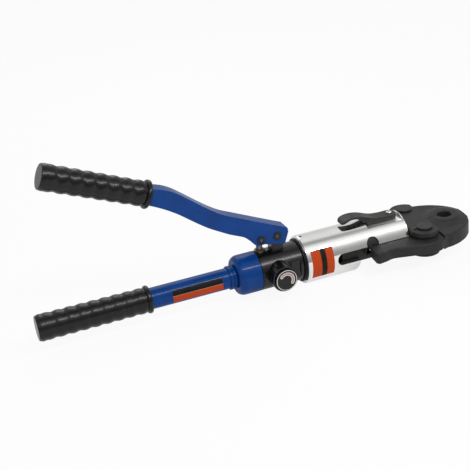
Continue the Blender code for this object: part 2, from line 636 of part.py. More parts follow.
def build_sleeve(polished):
    """Polished barrel: closed ring behind, slot on each side, long tongue on top."""
    sleeve = rod("head_sleeve", HEAD_X, SLEEVE_FRONT_X, SLEEVE_RADIUS, FINE, polished, chamfer=0.0005)
    bore = rod("bore", HEAD_X - 0.001, HEAD_X + SLEEVE_BORE_DEPTH, SLEEVE_BORE, FINE, polished)
    ceiling = PLATE_OUTER + 2 * SEAT
    mouth = block("mouth", (HEAD_X + SLEEVE_BORE_DEPTH - 0.002, -MOUTH_HALF_WIDTH, -SLEEVE_RADIUS - 0.001),
                  (SLEEVE_FRONT_X + 0.001, MOUTH_HALF_WIDTH, ceiling), polished)
    rear = arc((HEAD_X + SLOT_START + SLOT_HALF_HEIGHT, 0.0), SLOT_HALF_HEIGHT, 90.0, 270.0, 10)
    slot = prism("slot", rear + [(SLEEVE_FRONT_X + 0.001, -SLOT_HALF_HEIGHT),
                                 (SLEEVE_FRONT_X + 0.001, SLOT_HALF_HEIGHT)], "Y", -0.03, 0.03, polished)
    floor_x = HEAD_X + SLEEVE_FLOOR_LENGTH
    sweep = [(floor_x - SLEEVE_FLOOR_SWEEP * (1 - math.cos(a)), -(SLEEVE_RADIUS + 0.001) * math.sin(a))
             for a in (math.radians(90.0 * step / 8) for step in range(9))]
    end = SLEEVE_FRONT_X + 0.001
    floor_cut = prism("floor_cut", [*sweep, (end, -SLEEVE_RADIUS - 0.001), (end, 0.0)],
                      "Y", -0.03, 0.03, polished)
    pocket_end = PIN_X + LATCH_HALF_WIDTH + SEAT
    pocket = block("pocket", (pocket_end - POCKET_LENGTH, -0.03, POCKET_FLOOR), (pocket_end, 0.03, 0.03),
                   polished)
    notch = rod("notch", -0.03, 0.03, NOTCH_RADIUS, 24, polished, ALONG_MINUS_Y,
                (HEAD_X + NOTCH_AT, 0.0, NOTCH_HEIGHT))
    pin_hole = rod("pin_hole", 0.0, 0.03, PIN_RADIUS + RUN, SMALL, polished, ALONG_Z, (PIN_X, 0.0, 0.0))
    screw_hole = rod("screw_hole", 0.0, 0.03, LOCK_SCREW_RADIUS, 12, polished, ALONG_Z,
                     (HEAD_X + LOCK_SCREW_AT, 0.0, 0.0))
    return boolean(sleeve, "DIFFERENCE", bore, mouth, slot, floor_cut, pocket, notch, pin_hole, screw_hole)


def plate_outline():
    """Plan of a link plate: tongue into the sleeve, round lobes about the pivots, straight front."""
    front = JAW_PIVOT_X + PLATE_FRONT
    tilt = math.degrees(math.acos(PLATE_FRONT / PLATE_LOBE_RADIUS))
    lobe = arc((JAW_PIVOT_X, JAW_PIVOT_OFFSET), PLATE_LOBE_RADIUS, tilt, 205.0, 14)
    tongue_rear = PIN_X - PLATE_TONGUE_BACK
    corner = 0.0050
    tongue = arc((tongue_rear + corner, PLATE_TONGUE_HALF_WIDTH - corner), corner, 90.0, 180.0, 4)
    half = [(front, 0.0), *lobe, (SLEEVE_FRONT_X + 0.0012, PLATE_TONGUE_HALF_WIDTH), *tongue]
    other = [(x, -y) for x, y in reversed(half[1:])]
    return half + other


def build_jaw_set_frame(head_axis, blacked, steel):
    """Two link plates, the spacer between them, both jaw pins and their clips.

    They turn together on the retaining pin, within the play of the sleeve's mouth.
    """
    axis = pivot("jaw_set_axis", (PIN_X, 0.0, 0.0), head_axis)
    axis.rotation_euler.z = -math.radians(JAW_SET_TURN)
    parts = []
    for name, low, high in (("upper_link_plate", PLATE_INNER, PLATE_OUTER),
                            ("lower_link_plate", -PLATE_OUTER, -PLATE_INNER)):
        plate = prism(name, plate_outline(), "Z", low, high, blacked)
        holes = [rod("hole", -0.03, 0.03, JAW_PIN_RADIUS + SEAT, 20, blacked, ALONG_Z,
                     (JAW_PIVOT_X, side * JAW_PIVOT_OFFSET, 0.0)) for side in (-1, 1)]
        holes.append(rod("hole", -0.03, 0.03, PIN_RADIUS + RUN, SMALL, blacked, ALONG_Z, (PIN_X, 0.0, 0.0)))
        parts.append(boolean(plate, "DIFFERENCE", *holes))
    parts.append(tube("link_spacer", -PAD_HALF_HEIGHT, PAD_HALF_HEIGHT, PIN_RADIUS + RUN, SPACER_RADIUS,
                      SMALL, steel, ALONG_Z, (PIN_X, 0.0, 0.0)))
    for side, label in ((-1, "front"), (1, "rear")):
        centre = (JAW_PIVOT_X, side * JAW_PIVOT_OFFSET, 0.0)
        clip_low = PLATE_OUTER + SEAT
        head_low = clip_low + CLIP_THICKNESS + SEAT
        head_high = head_low + JAW_PIN_HEAD
        foot = -PLATE_OUTER - 0.0018
        profile = [(foot, 0.0), (foot, JAW_PIN_RADIUS - 0.0006), (foot + 0.0006, JAW_PIN_RADIUS),
                   (head_low, JAW_PIN_RADIUS), (head_low, JAW_PIN_HEAD_RADIUS),
                   (head_high - 0.0005, JAW_PIN_HEAD_RADIUS), (head_high, JAW_PIN_HEAD_RADIUS - 0.0008),
                   (head_high, 0.0)]
        parts.append(turned(f"jaw_pin_{label}", profile, MEDIUM, steel, ALONG_Z, centre))
        parts.append(build_pin_clip(f"pin_clip_{label}", side, centre, clip_low, steel))
    hang(axis, *parts)
    return axis


def build_pin_clip(name, side, centre, low, steel):
    """Spring clip round a jaw pin under its head, with a loop that shows beside the head."""
    high = low + CLIP_THICKNESS
    inner = JAW_PIN_RADIUS + SEAT
    clip = tube(name, low, high, inner, inner + CLIP_WIDTH, 20, steel, ALONG_Z, centre)
    reach = inner + CLIP_WIDTH + 0.0016
    angle = math.radians(225.0 if side < 0 else 135.0)
    loop_centre = (centre[0] + reach * math.cos(angle), centre[1] + reach * math.sin(angle), 0.0)
    boolean(clip, "UNION", rod("loop", low, high, 0.0027, SMALL, steel, ALONG_Z, loop_centre))
    hole = rod("loop_hole", low - 0.001, high + 0.001, 0.0014, 12, steel, ALONG_Z, loop_centre)
    return boolean(clip, "DIFFERENCE", hole)


# Jaws

def jaw_outline():
    """Plan of one closed jaw on the +Y side, as offsets along X from the jaw pivots."""
    inner_tail = ROLLER_OFFSET + ROLLER_RADIUS + SEAT
    tail = HEAD_X + ROLLER_AT + ROLLER_RADIUS + 2 * SEAT - JAW_PIVOT_X
    land_end = HEAD_X + ROLLER_AT + RAM_STROKE + ROLLER_RADIUS - JAW_PIVOT_X
    tip = TIP_X - JAW_PIVOT_X
    wide = JAW_HALF_WIDTH
    outer = smooth_path([(0.965 * tail, 0.976 * wide), (0.820 * tail, 0.928 * wide), (0.686 * tail, 0.876 * wide),
                         (0.439 * tail, 0.930 * wide), (0.208 * tail, 0.985 * wide), (0.0, wide),
                         (0.153 * tip, 0.966 * wide), (0.246 * tip, 0.886 * wide), (0.338 * tip, 0.833 * wide),
                         (0.439 * tip, 0.812 * wide), (0.625 * tip, 0.727 * wide), (0.785 * tip, 0.601 * wide),
                         (0.862 * tip, 0.514 * wide), (0.948 * tip, 0.388 * wide),
                         (0.990 * tip, 0.258 * wide)], 3)
    front = [(tip, 0.225 * wide), (tip, JAW_PARTING)]
    lobe = JAW_PIVOT_OFFSET
    inner = smooth_path([(0.0070, JAW_PARTING), (0.0055, 0.170 * lobe), (0.031 * tail, 0.360 * lobe),
                         (0.231 * tail, 0.485 * lobe), (0.462 * tail, 0.625 * lobe), (land_end, inner_tail)], 3)
    cam = smooth_path([(land_end - RAM_STROKE / 2, inner_tail), (tail + 0.0045, inner_tail + 0.0014),
                       (tail + 0.0008, inner_tail + 0.0050), (tail, inner_tail + 0.0090)], 3)
    end = [(tail - JAW_TOE, 0.915 * wide), (tail, 0.952 * wide)]
    return outer + front + inner + cam + end


def build_jaw(name, side, blacked):
    """One jaw: low arm through the slot, pad between the plates, thick head with half the die bore."""
    plan = [(JAW_PIVOT_X + u, side * v) for u, v in jaw_outline()]
    jaw = prism(name, plan, "Z", -0.02, 0.02, blacked)
    shoulder = JAW_PIVOT_X + SHOULDER_AHEAD
    top = HEAD_HALF_HEIGHT
    edge = HEAD_EDGE_HALF_HEIGHT
    lens = turned("lens", [(-top, 0.0), (-top, HEAD_TOP_RADIUS), (-edge - 0.0004, HEAD_SLOPE_RADIUS),
                           (-edge, 0.06), (edge, 0.06), (edge + 0.0004, HEAD_SLOPE_RADIUS),
                           (top, HEAD_TOP_RADIUS), (top, 0.0)], FINE, blacked, ALONG_Z, (BORE_X, 0.0, 0.0))
    boolean(lens, "INTERSECT", block("front", (shoulder, -0.07, -0.03), (TIP_X + 0.01, 0.07, 0.03), blacked))
    envelope = block("envelope", (HEAD_X, -0.08, -ARM_HALF_HEIGHT), (TIP_X - 0.01, 0.08, ARM_HALF_HEIGHT),
                     blacked)
    pivot_place = (JAW_PIVOT_X, side * JAW_PIVOT_OFFSET, 0.0)
    pad = rod("pad", -PAD_HALF_HEIGHT, PAD_HALF_HEIGHT, PAD_RADIUS, MEDIUM, blacked, ALONG_Z, pivot_place)
    boolean(envelope, "UNION", pad, lens)
    boolean(jaw, "INTERSECT", envelope)
    rim = 0.0010
    bore = turned("bore", [(-0.02, 0.0), (-0.02, BORE_RADIUS + 0.008 + rim), (-top, BORE_RADIUS + rim),
                           (-top + rim, BORE_RADIUS), (top - rim, BORE_RADIUS), (top, BORE_RADIUS + rim),
                           (0.02, BORE_RADIUS + 0.008 + rim), (0.02, 0.0)], MEDIUM, blacked, ALONG_Z,
                  (BORE_X, 0.0, 0.0))
    hole = rod("hole", -0.02, 0.02, JAW_PIN_RADIUS + RUN, MEDIUM, blacked, ALONG_Z, pivot_place)
    return boolean(jaw, "DIFFERENCE", bore, hole)


def build_jaws(set_axis, blacked):
    """Both jaws, each on its own pivot."""
    for side, label in ((-1, "front"), (1, "rear")):
        axis = pivot(f"jaw_{label}_axis", (JAW_PIVOT_X, side * JAW_PIVOT_OFFSET, 0.0), set_axis)
        hang(axis, build_jaw(f"jaw_{label}", side, blacked))


# Latch

def build_latch(head_axis, blacked, steel, chrome):
    """Retaining pin that holds the jaw set, with the finger lever screwed on top."""
    axis = pivot("pin_axis", (PIN_X, 0.0, 0.0), head_axis)
    lever_low = POCKET_FLOOR + SEAT
    foot = -PLATE_OUTER - 0.0020
    pin = rod("retaining_pin", foot, lever_low - SEAT, PIN_RADIUS, SMALL, steel, ALONG_Z,
              (PIN_X, 0.0, 0.0), chamfer=0.0006)
    lever_high = 0.0277
    screw_low = lever_low - SEAT - LATCH_SCREW_LENGTH
    boolean(pin, "DIFFERENCE", rod("thread", screw_low - SEAT, 0.03, LATCH_SCREW_RADIUS + SEAT, 12, steel,
                                   ALONG_Z, (PIN_X, 0.0, 0.0)))
    head_low = lever_high + SEAT
    head_high = head_low + LATCH_SCREW_HEAD
    profile = [(screw_low, 0.0), (screw_low, LATCH_SCREW_RADIUS), (head_low, LATCH_SCREW_RADIUS),
               (head_low, LATCH_SCREW_HEAD_RADIUS), (head_high - 0.0004, LATCH_SCREW_HEAD_RADIUS),
               (head_high, LATCH_SCREW_HEAD_RADIUS - 0.0006), (head_high, 0.0)]
    screw = turned("latch_screw", profile, SMALL, chrome, ALONG_Z, (PIN_X, 0.0, 0.0))
    hang(axis, pin, screw)
    swing = pivot("latch_axis", (PIN_X, 0.0, lever_low), axis)
    hang(swing, build_latch_lever(lever_low, lever_high, blacked))


def build_latch_lever(low, high, blacked):
    """Finger lever: flat foot in the pocket, curved tab above the sleeve."""
    front = PIN_X + LATCH_HALF_WIDTH
    top = [(-0.3513, 0.7961), (-0.4412, 0.8715), (-0.5882, 0.9749), (-0.7353, 1.0000),
           (-0.8497, 0.9916), (-0.9477, 0.9358), (-1.0000, 0.8464)]
    under = [(-0.9869, 0.7793), (-0.9477, 0.7849), (-0.8497, 0.8436), (-0.7190, 0.8687),
             (-0.5882, 0.8268), (-0.5196, 0.7598)]
    tab = smooth_path(top, 2) + smooth_path(under, 2)
    outline = [(front, low), (front, high - 0.0007), (front - 0.0010, high), (PIN_X - 0.0100, high)]
    outline += [(PIN_X + u * LATCH_REACH, v * LATCH_CREST) for u, v in tab]
    outline.append((PIN_X - 0.51 * LATCH_REACH, low))
    lever = prism("latch_lever", outline, "Y", -LATCH_HALF_WIDTH, LATCH_HALF_WIDTH, blacked)
    nose = arc((PIN_X, 0.0), LATCH_HALF_WIDTH, -90.0, 90.0, 12)
    tail_x = PIN_X - LATCH_REACH
    corner = LATCH_CORNER
    tail = arc((tail_x + corner, LATCH_HALF_WIDTH - corner), corner, 90.0, 180.0, 4)
    tail += arc((tail_x + corner, corner - LATCH_HALF_WIDTH), corner, 180.0, 270.0, 4)
    boolean(lever, "INTERSECT", prism("plan", nose + tail, "Z", 0.0, 0.05, blacked))
    return boolean(lever, "DIFFERENCE", rod("hole", 0.0, 0.05, LATCH_SCREW_RADIUS + RUN, 12, blacked,
                                            ALONG_Z, (PIN_X, 0.0, 0.0)))


# Ram, carriage and rollers

def build_ram(head_axis, cast, steel, rubber, spring_steel):
    """Hollow piston and rod, seal, return spring, forked carriage and its two roller pins."""
    axis = pivot("ram_axis", (HEAD_X, 0.0, 0.0), head_axis)
    rear = HEAD_X - CYLINDER_DEPTH + SEAT
    piston_front = rear + PISTON_LENGTH
    piston_radius = CYLINDER_RADIUS - RUN
    rod_end = HEAD_X + CARRIAGE_REAR + ROD_SOCKET - SEAT
    well = SPRING_RADIUS + SPRING_WIRE + SEAT
    well_end = rear + SPRING_LENGTH + 2 * SEAT
    middle = rear + PISTON_LENGTH / 2
    groove_radius = piston_radius - PISTON_GROOVE
    profile = [(rear, well), (rear, piston_radius), (middle - PISTON_GROOVE, piston_radius),
               (middle - PISTON_GROOVE, groove_radius), (middle + PISTON_GROOVE, groove_radius),
               (middle + PISTON_GROOVE, piston_radius), (piston_front, piston_radius),
               (piston_front, ROD_RADIUS), (rod_end, ROD_RADIUS), (rod_end, 0.0), (well_end, 0.0),
               (well_end, well)]
    ram = turned_with_core("ram_piston", profile, MEDIUM, steel)
    seal = tube("piston_seal", middle - PISTON_GROOVE + SEAT, middle + PISTON_GROOVE - SEAT,
                groove_radius + SEAT, piston_radius, MEDIUM, rubber)
    carriage = build_carriage(cast)
    parts = [ram, seal, carriage]
    for side, label in ((-1, "front"), (1, "rear")):
        place = (HEAD_X + ROLLER_AT, side * ROLLER_OFFSET, 0.0)
        parts.append(rod(f"roller_pin_{label}", -CARRIAGE_HALF_HEIGHT + SEAT, CARRIAGE_HALF_HEIGHT - SEAT,
                         ROLLER_PIN_RADIUS, SMALL, steel, ALONG_Z, place))
    hang(axis, *parts)
    for side, label in ((-1, "front"), (1, "rear")):
        place = (HEAD_X + ROLLER_AT, side * ROLLER_OFFSET, 0.0)
        spin_axis = pivot(f"roller_{label}_axis", place, axis)
        roller = tube(f"roller_{label}", -ROLLER_HALF_HEIGHT, ROLLER_HALF_HEIGHT, ROLLER_PIN_RADIUS + RUN,
                      ROLLER_RADIUS, MEDIUM, steel, ALONG_Z, place)
        hang(spin_axis, roller)
    build_return_spring(rear, spring_steel)


def turned_with_core(name, profile, steps, material):
    """Turned piece whose closed profile touches the axis along one stretch."""
    first = next(index for index, point in enumerate(profile) if point[1] == 0.0)
    open_profile = profile[first + 1:] + profile[:first + 1]
    return turned(name, open_profile, steps, material)


def build_carriage(cast):
    """Round carriage with a flat top and bottom and a forked front that holds the rollers."""
    rear = HEAD_X + CARRIAGE_REAR
    front = HEAD_X + CARRIAGE_FRONT
    radius = SLEEVE_BORE - RUN - 0.0002
    carriage = rod("ram_carriage", rear, front, radius, FINE, cast, chamfer=0.0006)
    half = CARRIAGE_HALF_HEIGHT
    boolean(carriage, "INTERSECT", block("waist", (rear - 0.001, -0.03, -half), (front + 0.001, 0.03, half),
                                         cast))
    roller_x = HEAD_X + ROLLER_AT
    fork = ROLLER_HALF_HEIGHT + RUN
    gap = ROLLER_RADIUS + RUN
    back = arc((roller_x, ROLLER_OFFSET), gap, 90.0, 270.0, 12)
    back += arc((roller_x, -ROLLER_OFFSET), gap, 90.0, 270.0, 12)
    mouth = front + 0.001
    opening = prism("opening", [(mouth, -0.03), (mouth, 0.03), (roller_x, 0.03), *back, (roller_x, -0.03)],
                    "Z", -fork, fork, cast)
    nose = front - CARRIAGE_NOSE_LENGTH
    side = MOUTH_HALF_WIDTH - 0.0010
    trims = [block("trim", (nose, side, -0.025), (mouth, 0.03, 0.025), cast),
             block("trim", (nose, -0.03, -0.025), (mouth, -side, 0.025), cast)]
    cuts = [opening, *trims]
    for sign in (-1, 1):
        place = (roller_x, sign * ROLLER_OFFSET, 0.0)
        cuts.append(rod("pin_hole", -0.02, 0.02, ROLLER_PIN_RADIUS + SEAT, SMALL, cast, ALONG_Z, place))
    cuts.append(rod("rod_hole", rear - 0.001, rear + ROD_SOCKET, ROD_RADIUS + SEAT, MEDIUM, cast))
    return boolean(carriage, "DIFFERENCE", *cuts)


def build_return_spring(rear, spring_steel):
    """Coil spring inside the hollow ram that pulls it back."""
    curve = bpy.data.curves.new("ram_return_spring", "CURVE")
    curve.dimensions = "3D"
    curve.bevel_depth = SPRING_WIRE
    curve.bevel_resolution = 1
    curve.use_fill_caps = True
    steps = SPRING_TURNS * 12
    line = curve.splines.new("POLY")
    line.points.add(steps)
    run = SPRING_LENGTH - 2 * SPRING_WIRE - SEAT
    for step, point in enumerate(line.points):
        angle = math.tau * step / 12
        along = rear + SPRING_WIRE + run * step / steps
        point.co = (along, SPRING_RADIUS * math.cos(angle), SPRING_RADIUS * math.sin(angle), 1.0)
    curve.materials.append(spring_steel)
    spring = bpy.data.objects.new("ram_return_spring", curve)
    bpy.context.collection.objects.link(spring)


def main():
    """Build every piece of the press tool."""
    clear_scene()
    rubber = make_material("grip_rubber", (0.010, 0.010, 0.011), 0.55, 0.0)
    painted = make_material("blue_paint", (0.006, 0.060, 0.260), 0.30, 0.0)
    blacked = make_material("blackened_steel", (0.045, 0.045, 0.045), 0.50, 0.6)
    polished = make_material("polished_steel", (0.750, 0.750, 0.740), 0.18, 1.0)
    steel = make_material("ground_steel", (0.300, 0.300, 0.300), 0.35, 1.0)
    bronze = make_material("bronze", (0.330, 0.220, 0.110), 0.40, 1.0)
    cast = make_material("cast_steel", (0.100, 0.098, 0.095), 0.55, 0.7)
    chrome = make_material("bright_steel", (0.600, 0.600, 0.600), 0.15, 1.0)

    build_lower_handle(rubber, painted, rubber)
    build_pump_body(blacked, steel, bronze, rubber, chrome)
    build_release_knob(blacked, steel)
    build_pump_lever(painted, rubber, steel)
    build_plunger(steel)
    head_axis = build_head(polished, blacked)
    set_axis = build_jaw_set_frame(head_axis, blacked, steel)
    build_jaws(set_axis, blacked)
    build_latch(head_axis, blacked, steel, chrome)
    build_ram(head_axis, cast, steel, rubber, chrome)


if __name__ == "__main__":
    main()
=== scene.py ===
"""Looks of a manual hydraulic pipe press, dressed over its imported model.

Metres. The tool's axis is X with the jaw tips forward, Z points up towards the pump lever, and
the release knob is on the -Y side.
"""

import logging
import math
from dataclasses import dataclass
from enum import Enum
from typing import Any, Callable, Iterable, Optional, Sequence, Union

import bmesh
import bpy
from mathutils import Matrix, Vector, kdtree


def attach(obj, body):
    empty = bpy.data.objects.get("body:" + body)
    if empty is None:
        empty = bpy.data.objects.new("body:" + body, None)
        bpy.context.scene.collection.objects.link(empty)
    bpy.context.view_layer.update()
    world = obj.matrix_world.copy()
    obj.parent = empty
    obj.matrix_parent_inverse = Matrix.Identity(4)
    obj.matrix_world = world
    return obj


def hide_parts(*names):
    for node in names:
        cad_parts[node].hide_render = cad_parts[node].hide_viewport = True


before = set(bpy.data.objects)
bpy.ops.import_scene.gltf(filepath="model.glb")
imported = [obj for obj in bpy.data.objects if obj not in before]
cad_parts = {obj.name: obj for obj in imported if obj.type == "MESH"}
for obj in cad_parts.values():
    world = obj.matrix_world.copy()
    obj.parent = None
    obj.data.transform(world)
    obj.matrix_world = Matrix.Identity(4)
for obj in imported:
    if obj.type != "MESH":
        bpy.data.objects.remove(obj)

log = logging.getLogger("pipe_press")
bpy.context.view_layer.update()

Point = Sequence[float]
Span = tuple[float, float]
Triple = tuple[float, float, float]
Colour = Triple
Outline = list[tuple[float, float]]
Value = Union[float, "Wire", Sequence[float]]

# Play between two parts that sit in each other, half the length of a cutter that goes right
# through a part, the far end of one that starts inside it, and how near vertices become one.
SEAT = 0.0003
THROUGH = 0.03
OUT = 0.05
MERGE = 2e-6

# How far a film's underside and its top lie above the tube.
FILM_UNDER = 0.00002
FILM_TOP = 0.00014

ORIGIN = (0.0, 0.0, 0.0)
UNSTRETCHED = (1.0, 1.0, 1.0)
ALONG_X = Matrix.Identity(4)
ALONG_Z = Matrix.Rotation(math.radians(-90.0), 4, "Y")
ALONG_MINUS_Y = Matrix.Rotation(math.radians(-90.0), 4, "Z")


class Body(Enum):
    """The moving bodies of the press."""

    BODY = "press_body"
    KNOB = "release_knob"
    LEVER = "pump_lever"
    PLUNGER = "pump_plunger"
    HEAD = "press_head"
    JAW_SET = "jaw_set"
    RAM = "ram_carriage"
    ROLLER_FRONT = "roller_front"
    ROLLER_REAR = "roller_rear"
    JAW_FRONT = "jaw_front"
    JAW_REAR = "jaw_rear"
    PIN = "retaining_pin"
    LATCH = "latch_lever"


class View(Enum):
    """The plane an outline is drawn in."""

    PLAN = "seen from above, X and Y"
    SIDE = "seen from the side, X and Z"


# Shader arithmetic


def operation(name: str, swapped: bool = False) -> Callable[..., "Wire"]:
    """Make a method that adds one Math node.

    Args:
        name: the node's operation.
        swapped: whether the other value comes first, as in reflected arithmetic.

    Returns:
        The method.
    """
    def method(self: "Wire", other: Value = 0.0) -> "Wire":
        """Result of the operation on this wire and the other value."""
        values = {0: other, 1: self} if swapped else {0: self, 1: other}
        return self.board.node("ShaderNodeMath", {"operation": name}, values)

    return method


class Wire:
    """A shader output that takes part in Python arithmetic."""

    def __init__(self, board: "Board", socket: bpy.types.NodeSocket) -> None:
        """Keep the board and the output socket."""
        self.board = board
        self.socket = socket

    __add__, __radd__ = operation("ADD"), operation("ADD", True)
    __sub__, __rsub__ = operation("SUBTRACT"), operation("SUBTRACT", True)
    __mul__, __rmul__ = operation("MULTIPLY"), operation("MULTIPLY", True)
    __truediv__ = operation("DIVIDE")
    __abs__ = operation("ABSOLUTE")
    root = operation("SQRT")
    greater = operation("MAXIMUM")
    angle_from = operation("ARCTAN2")

    def rise(self, low: float = 0.3, high: float = 0.7) -> "Wire":
        """Smooth step from 0 at low to 1 at high.

        Args:
            low: value where the step starts.
            high: value where the step ends.

        Returns:
            The step.
        """
        return self.board.node("ShaderNodeMapRange", {"interpolation_type": "SMOOTHSTEP"},
                               {"Value": self, "From Min": low, "From Max": high})

    def below(self, edge: float, soft: float) -> "Wire":
        """Mask that is 1 under an edge, with a soft border."""
        return 1.0 - self.rise(edge - soft, edge + soft)

    def sway(self, amount: float) -> "Wire":
        """Noise as a change of the given size about zero."""
        return amount * (self - 0.5)


def distance(first: Wire, second: Wire) -> Wire:
    """Length of the line with these two parts."""
    return (first * first + second * second).root()


class Board:
    """The node tree of one material, or of the world."""

    def __init__(self, name: str, world: Optional[bpy.types.World] = None) -> None:
        """Start a material with its Principled shader, or take a world's tree."""
        self.material = world or bpy.data.materials.new(name)
        self.material.use_nodes = True
        self.tree = self.material.node_tree
        self.shader = self.tree.nodes.get("Principled BSDF")

    def node(self, kind: str, settings: Optional[dict[str, Any]] = None,
             sockets: Optional[dict[Any, Value]] = None, output: Any = 0) -> Wire:
        """Add a node.

        Args:
            kind: node type.
            settings: properties set before the sockets; "stops" fills a colour ramp.
            sockets: values or wires by socket name or number.
            output: name or number of the output to return.

        Returns:
            The chosen output.
        """
        item = self.tree.nodes.new(kind)
        for key, value in (settings or {}).items():
            if key == "stops":
                self._fill_ramp(item.color_ramp, value)
            else:
                setattr(item, key, value)
        for key, value in (sockets or {}).items():
            self._feed(item.inputs[key], value)
        return Wire(self, item.outputs[output])

    @staticmethod
    def _fill_ramp(ramp: bpy.types.ColorRamp, stops: Sequence[tuple[float, Point]]) -> None:
        """Give a ramp its stops, each a place and a colour."""
        while len(ramp.elements) < len(stops):
            ramp.elements.new(0.5)
        for element, (place, colour) in zip(ramp.elements, stops):
            element.position = place
            element.color = (*colour, 1.0)

    def _feed(self, socket: bpy.types.NodeSocket, value: Value) -> None:
        """Link a wire to a socket, or write a plain value on it."""
        if isinstance(value, Wire):
            self.tree.links.new(value.socket, socket)
        elif socket.type == "RGBA":
            socket.default_value = (*value, 1.0)
        else:
            socket.default_value = value

    def set(self, **values: Value) -> None:
        """Feed the Principled shader; base_color stands for Base Color and so on."""
        for key, value in values.items():
            name = "Specular IOR Level" if key == "specular" else key.replace("_", " ").title()
            self._feed(self.shader.inputs[name], value)

    def place(self) -> Wire:
        """Object coordinates, in metres."""
        return self.node("ShaderNodeTexCoord", output="Object")

    def axes(self, where: Optional[Wire] = None) -> tuple[Wire, Wire, Wire]:
        """The three coordinates apart, object coordinates unless others are given."""
        where = where or self.place()
        return tuple(self.node("ShaderNodeSeparateXYZ", sockets={0: where}, output=axis)
                     for axis in "XYZ")

    def around(self, centre: Span) -> tuple[Wire, Wire, Wire]:
        """Offsets in X and Z from a line along Y, and the distance from it."""
        x, _, z = self.axes()
        across, up = x - centre[0], z - centre[1]
        return across, up, distance(across, up)

    def noise(self, grain: float, detail: float = 2.0, stretch: Point = UNSTRETCHED) -> Wire:
        """Noise of a given grain size.

        Args:
            grain: size of one blotch in metres.
            detail: octaves.
            stretch: factor on each coordinate; a small one draws the pattern out that way.

        Returns:
            Noise between 0 and 1, about 0.5.
        """
        vector = self.place()
        if tuple(stretch) != UNSTRETCHED:
            vector = self.node("ShaderNodeMapping", sockets={"Vector": vector, "Scale": stretch})
        return self.node("ShaderNodeTexNoise",
                         sockets={"Vector": vector, "Scale": 1.0 / grain, "Detail": detail})

    def mix(self, factor: Value, first: Value, second: Value) -> Wire:
        """Blend two colours."""
        return self.node("ShaderNodeMix", {"data_type": "RGBA"}, {0: factor, 6: first, 7: second},
                         output=2)

    def bump(self, height: Wire, depth: float) -> Wire:
        """Raise the surface by a height pattern of the given depth in metres."""
        return self.node("ShaderNodeBump",
                         sockets={"Strength": 1.0, "Distance": depth, "Height": height})


# Finishes


def grey(level: float) -> Colour:
    """Neutral colour."""
    return level, level, level


@dataclass(frozen=True)
class Finish:
    """A surface finish.

    Attributes:
        name: material name.
        colour: main colour, linear.
        roughness: middle roughness.
        specular: strength of the plain surface reflection.
    """

    name: str
    colour: Colour
    roughness: float
    specular: float = 0.3

    def make(self) -> bpy.types.Material:
        """Build the material."""
        board = Board(self.name)
        board.set(specular=self.specular)
        self.dress(board)
        board.material.diffuse_color = (*self.colour, 1.0)
        return board.material

    def dress(self, board: Board) -> None:
        """Fill the material's nodes."""
        board.set(base_color=self.colour, roughness=self.roughness)

    def shades(self, board: Board, mask: Wire, dark: float, light: float) -> Wire:
        """Blend from a darker to a lighter shade of the colour.

        Args:
            board: the material's board.
            mask: 0 for dark, 1 for light.
            dark: factor on the colour where it is dark.
            light: factor on the colour where it is light.

        Returns:
            The blended colour.
        """
        first, second = (tuple(min(1.0, channel * factor) for channel in self.colour)
                         for factor in (dark, light))
        return board.mix(mask, first, second)


@dataclass(frozen=True)
class Enamel(Finish):
    """Sprayed gloss paint with a slight orange peel."""

    coat: float = 0.30
    coat_roughness: float = 0.14

    def dress(self, board: Board) -> None:
        """Cloudy colour, orange peel and a thin gloss coat."""
        cloud = board.noise(0.018, 3.0)
        peel = board.noise(0.0014, 1.0)
        fleck = board.noise(0.00035, 1.0)
        board.set(base_color=self.shades(board, cloud.rise(), 0.88, 1.10),
                  roughness=self.roughness + cloud.sway(0.10) + fleck.sway(0.05),
                  coat_weight=self.coat, coat_roughness=self.coat_roughness,
                  normal=board.bump(peel + 0.15 * fleck, 0.00004))


@dataclass(frozen=True)
class MouldedRubber(Finish):
    """Dipped or moulded soft plastic with a satin skin."""

    def dress(self, board: Board) -> None:
        """Fine mould grain with smoother and duller patches."""
        patch = board.noise(0.010, 3.0)
        grain = board.noise(0.00045, 2.0)
        board.set(base_color=self.shades(board, patch.rise(0.3, 0.75), 0.8, 1.5),
                  roughness=self.roughness + patch.sway(0.16), normal=board.bump(grain, 0.00003))


@dataclass(frozen=True)
class BlackedSteel(Finish):
    """Turned steel with a black oxide skin, tool lines round the X axis."""

    def dress(self, board: Board) -> None:
        """Tool lines, faint patches and an oily gloss."""
        lines = board.noise(0.0004, 2.0, (1.0, 0.04, 0.04))
        patch = board.noise(0.012, 4.0)
        board.set(base_color=self.shades(board, patch.rise(0.35, 0.8), 0.8, 1.35),
                  roughness=self.roughness + patch.sway(0.08) + lines.sway(0.05),
                  normal=board.bump(lines, 0.000006))


@dataclass(frozen=True)
class HeadedSteel(Finish):
    """Dark pin across the lever, bare in the hollow of its heads.

    Attributes:
        centre: X and Z of the pin.
        core: radius of the bare middle.
        bare: colour of the bare middle.
    """

    centre: Span = (0.0, 0.0)
    core: float = 0.0019
    bare: Colour = grey(0.10)

    def dress(self, board: Board) -> None:
        """Mask the bare middle by its distance from the pin's axis."""
        middle = board.around(self.centre)[2].below(self.core, 0.0002)
        patch = board.noise(0.0012, 3.0)
        dark = self.shades(board, patch.rise(), 0.7, 1.6)
        board.set(base_color=board.mix(middle, dark, self.bare), metallic=0.6 * middle,
                  roughness=self.roughness + patch.sway(0.2), normal=board.bump(patch, 0.00002))


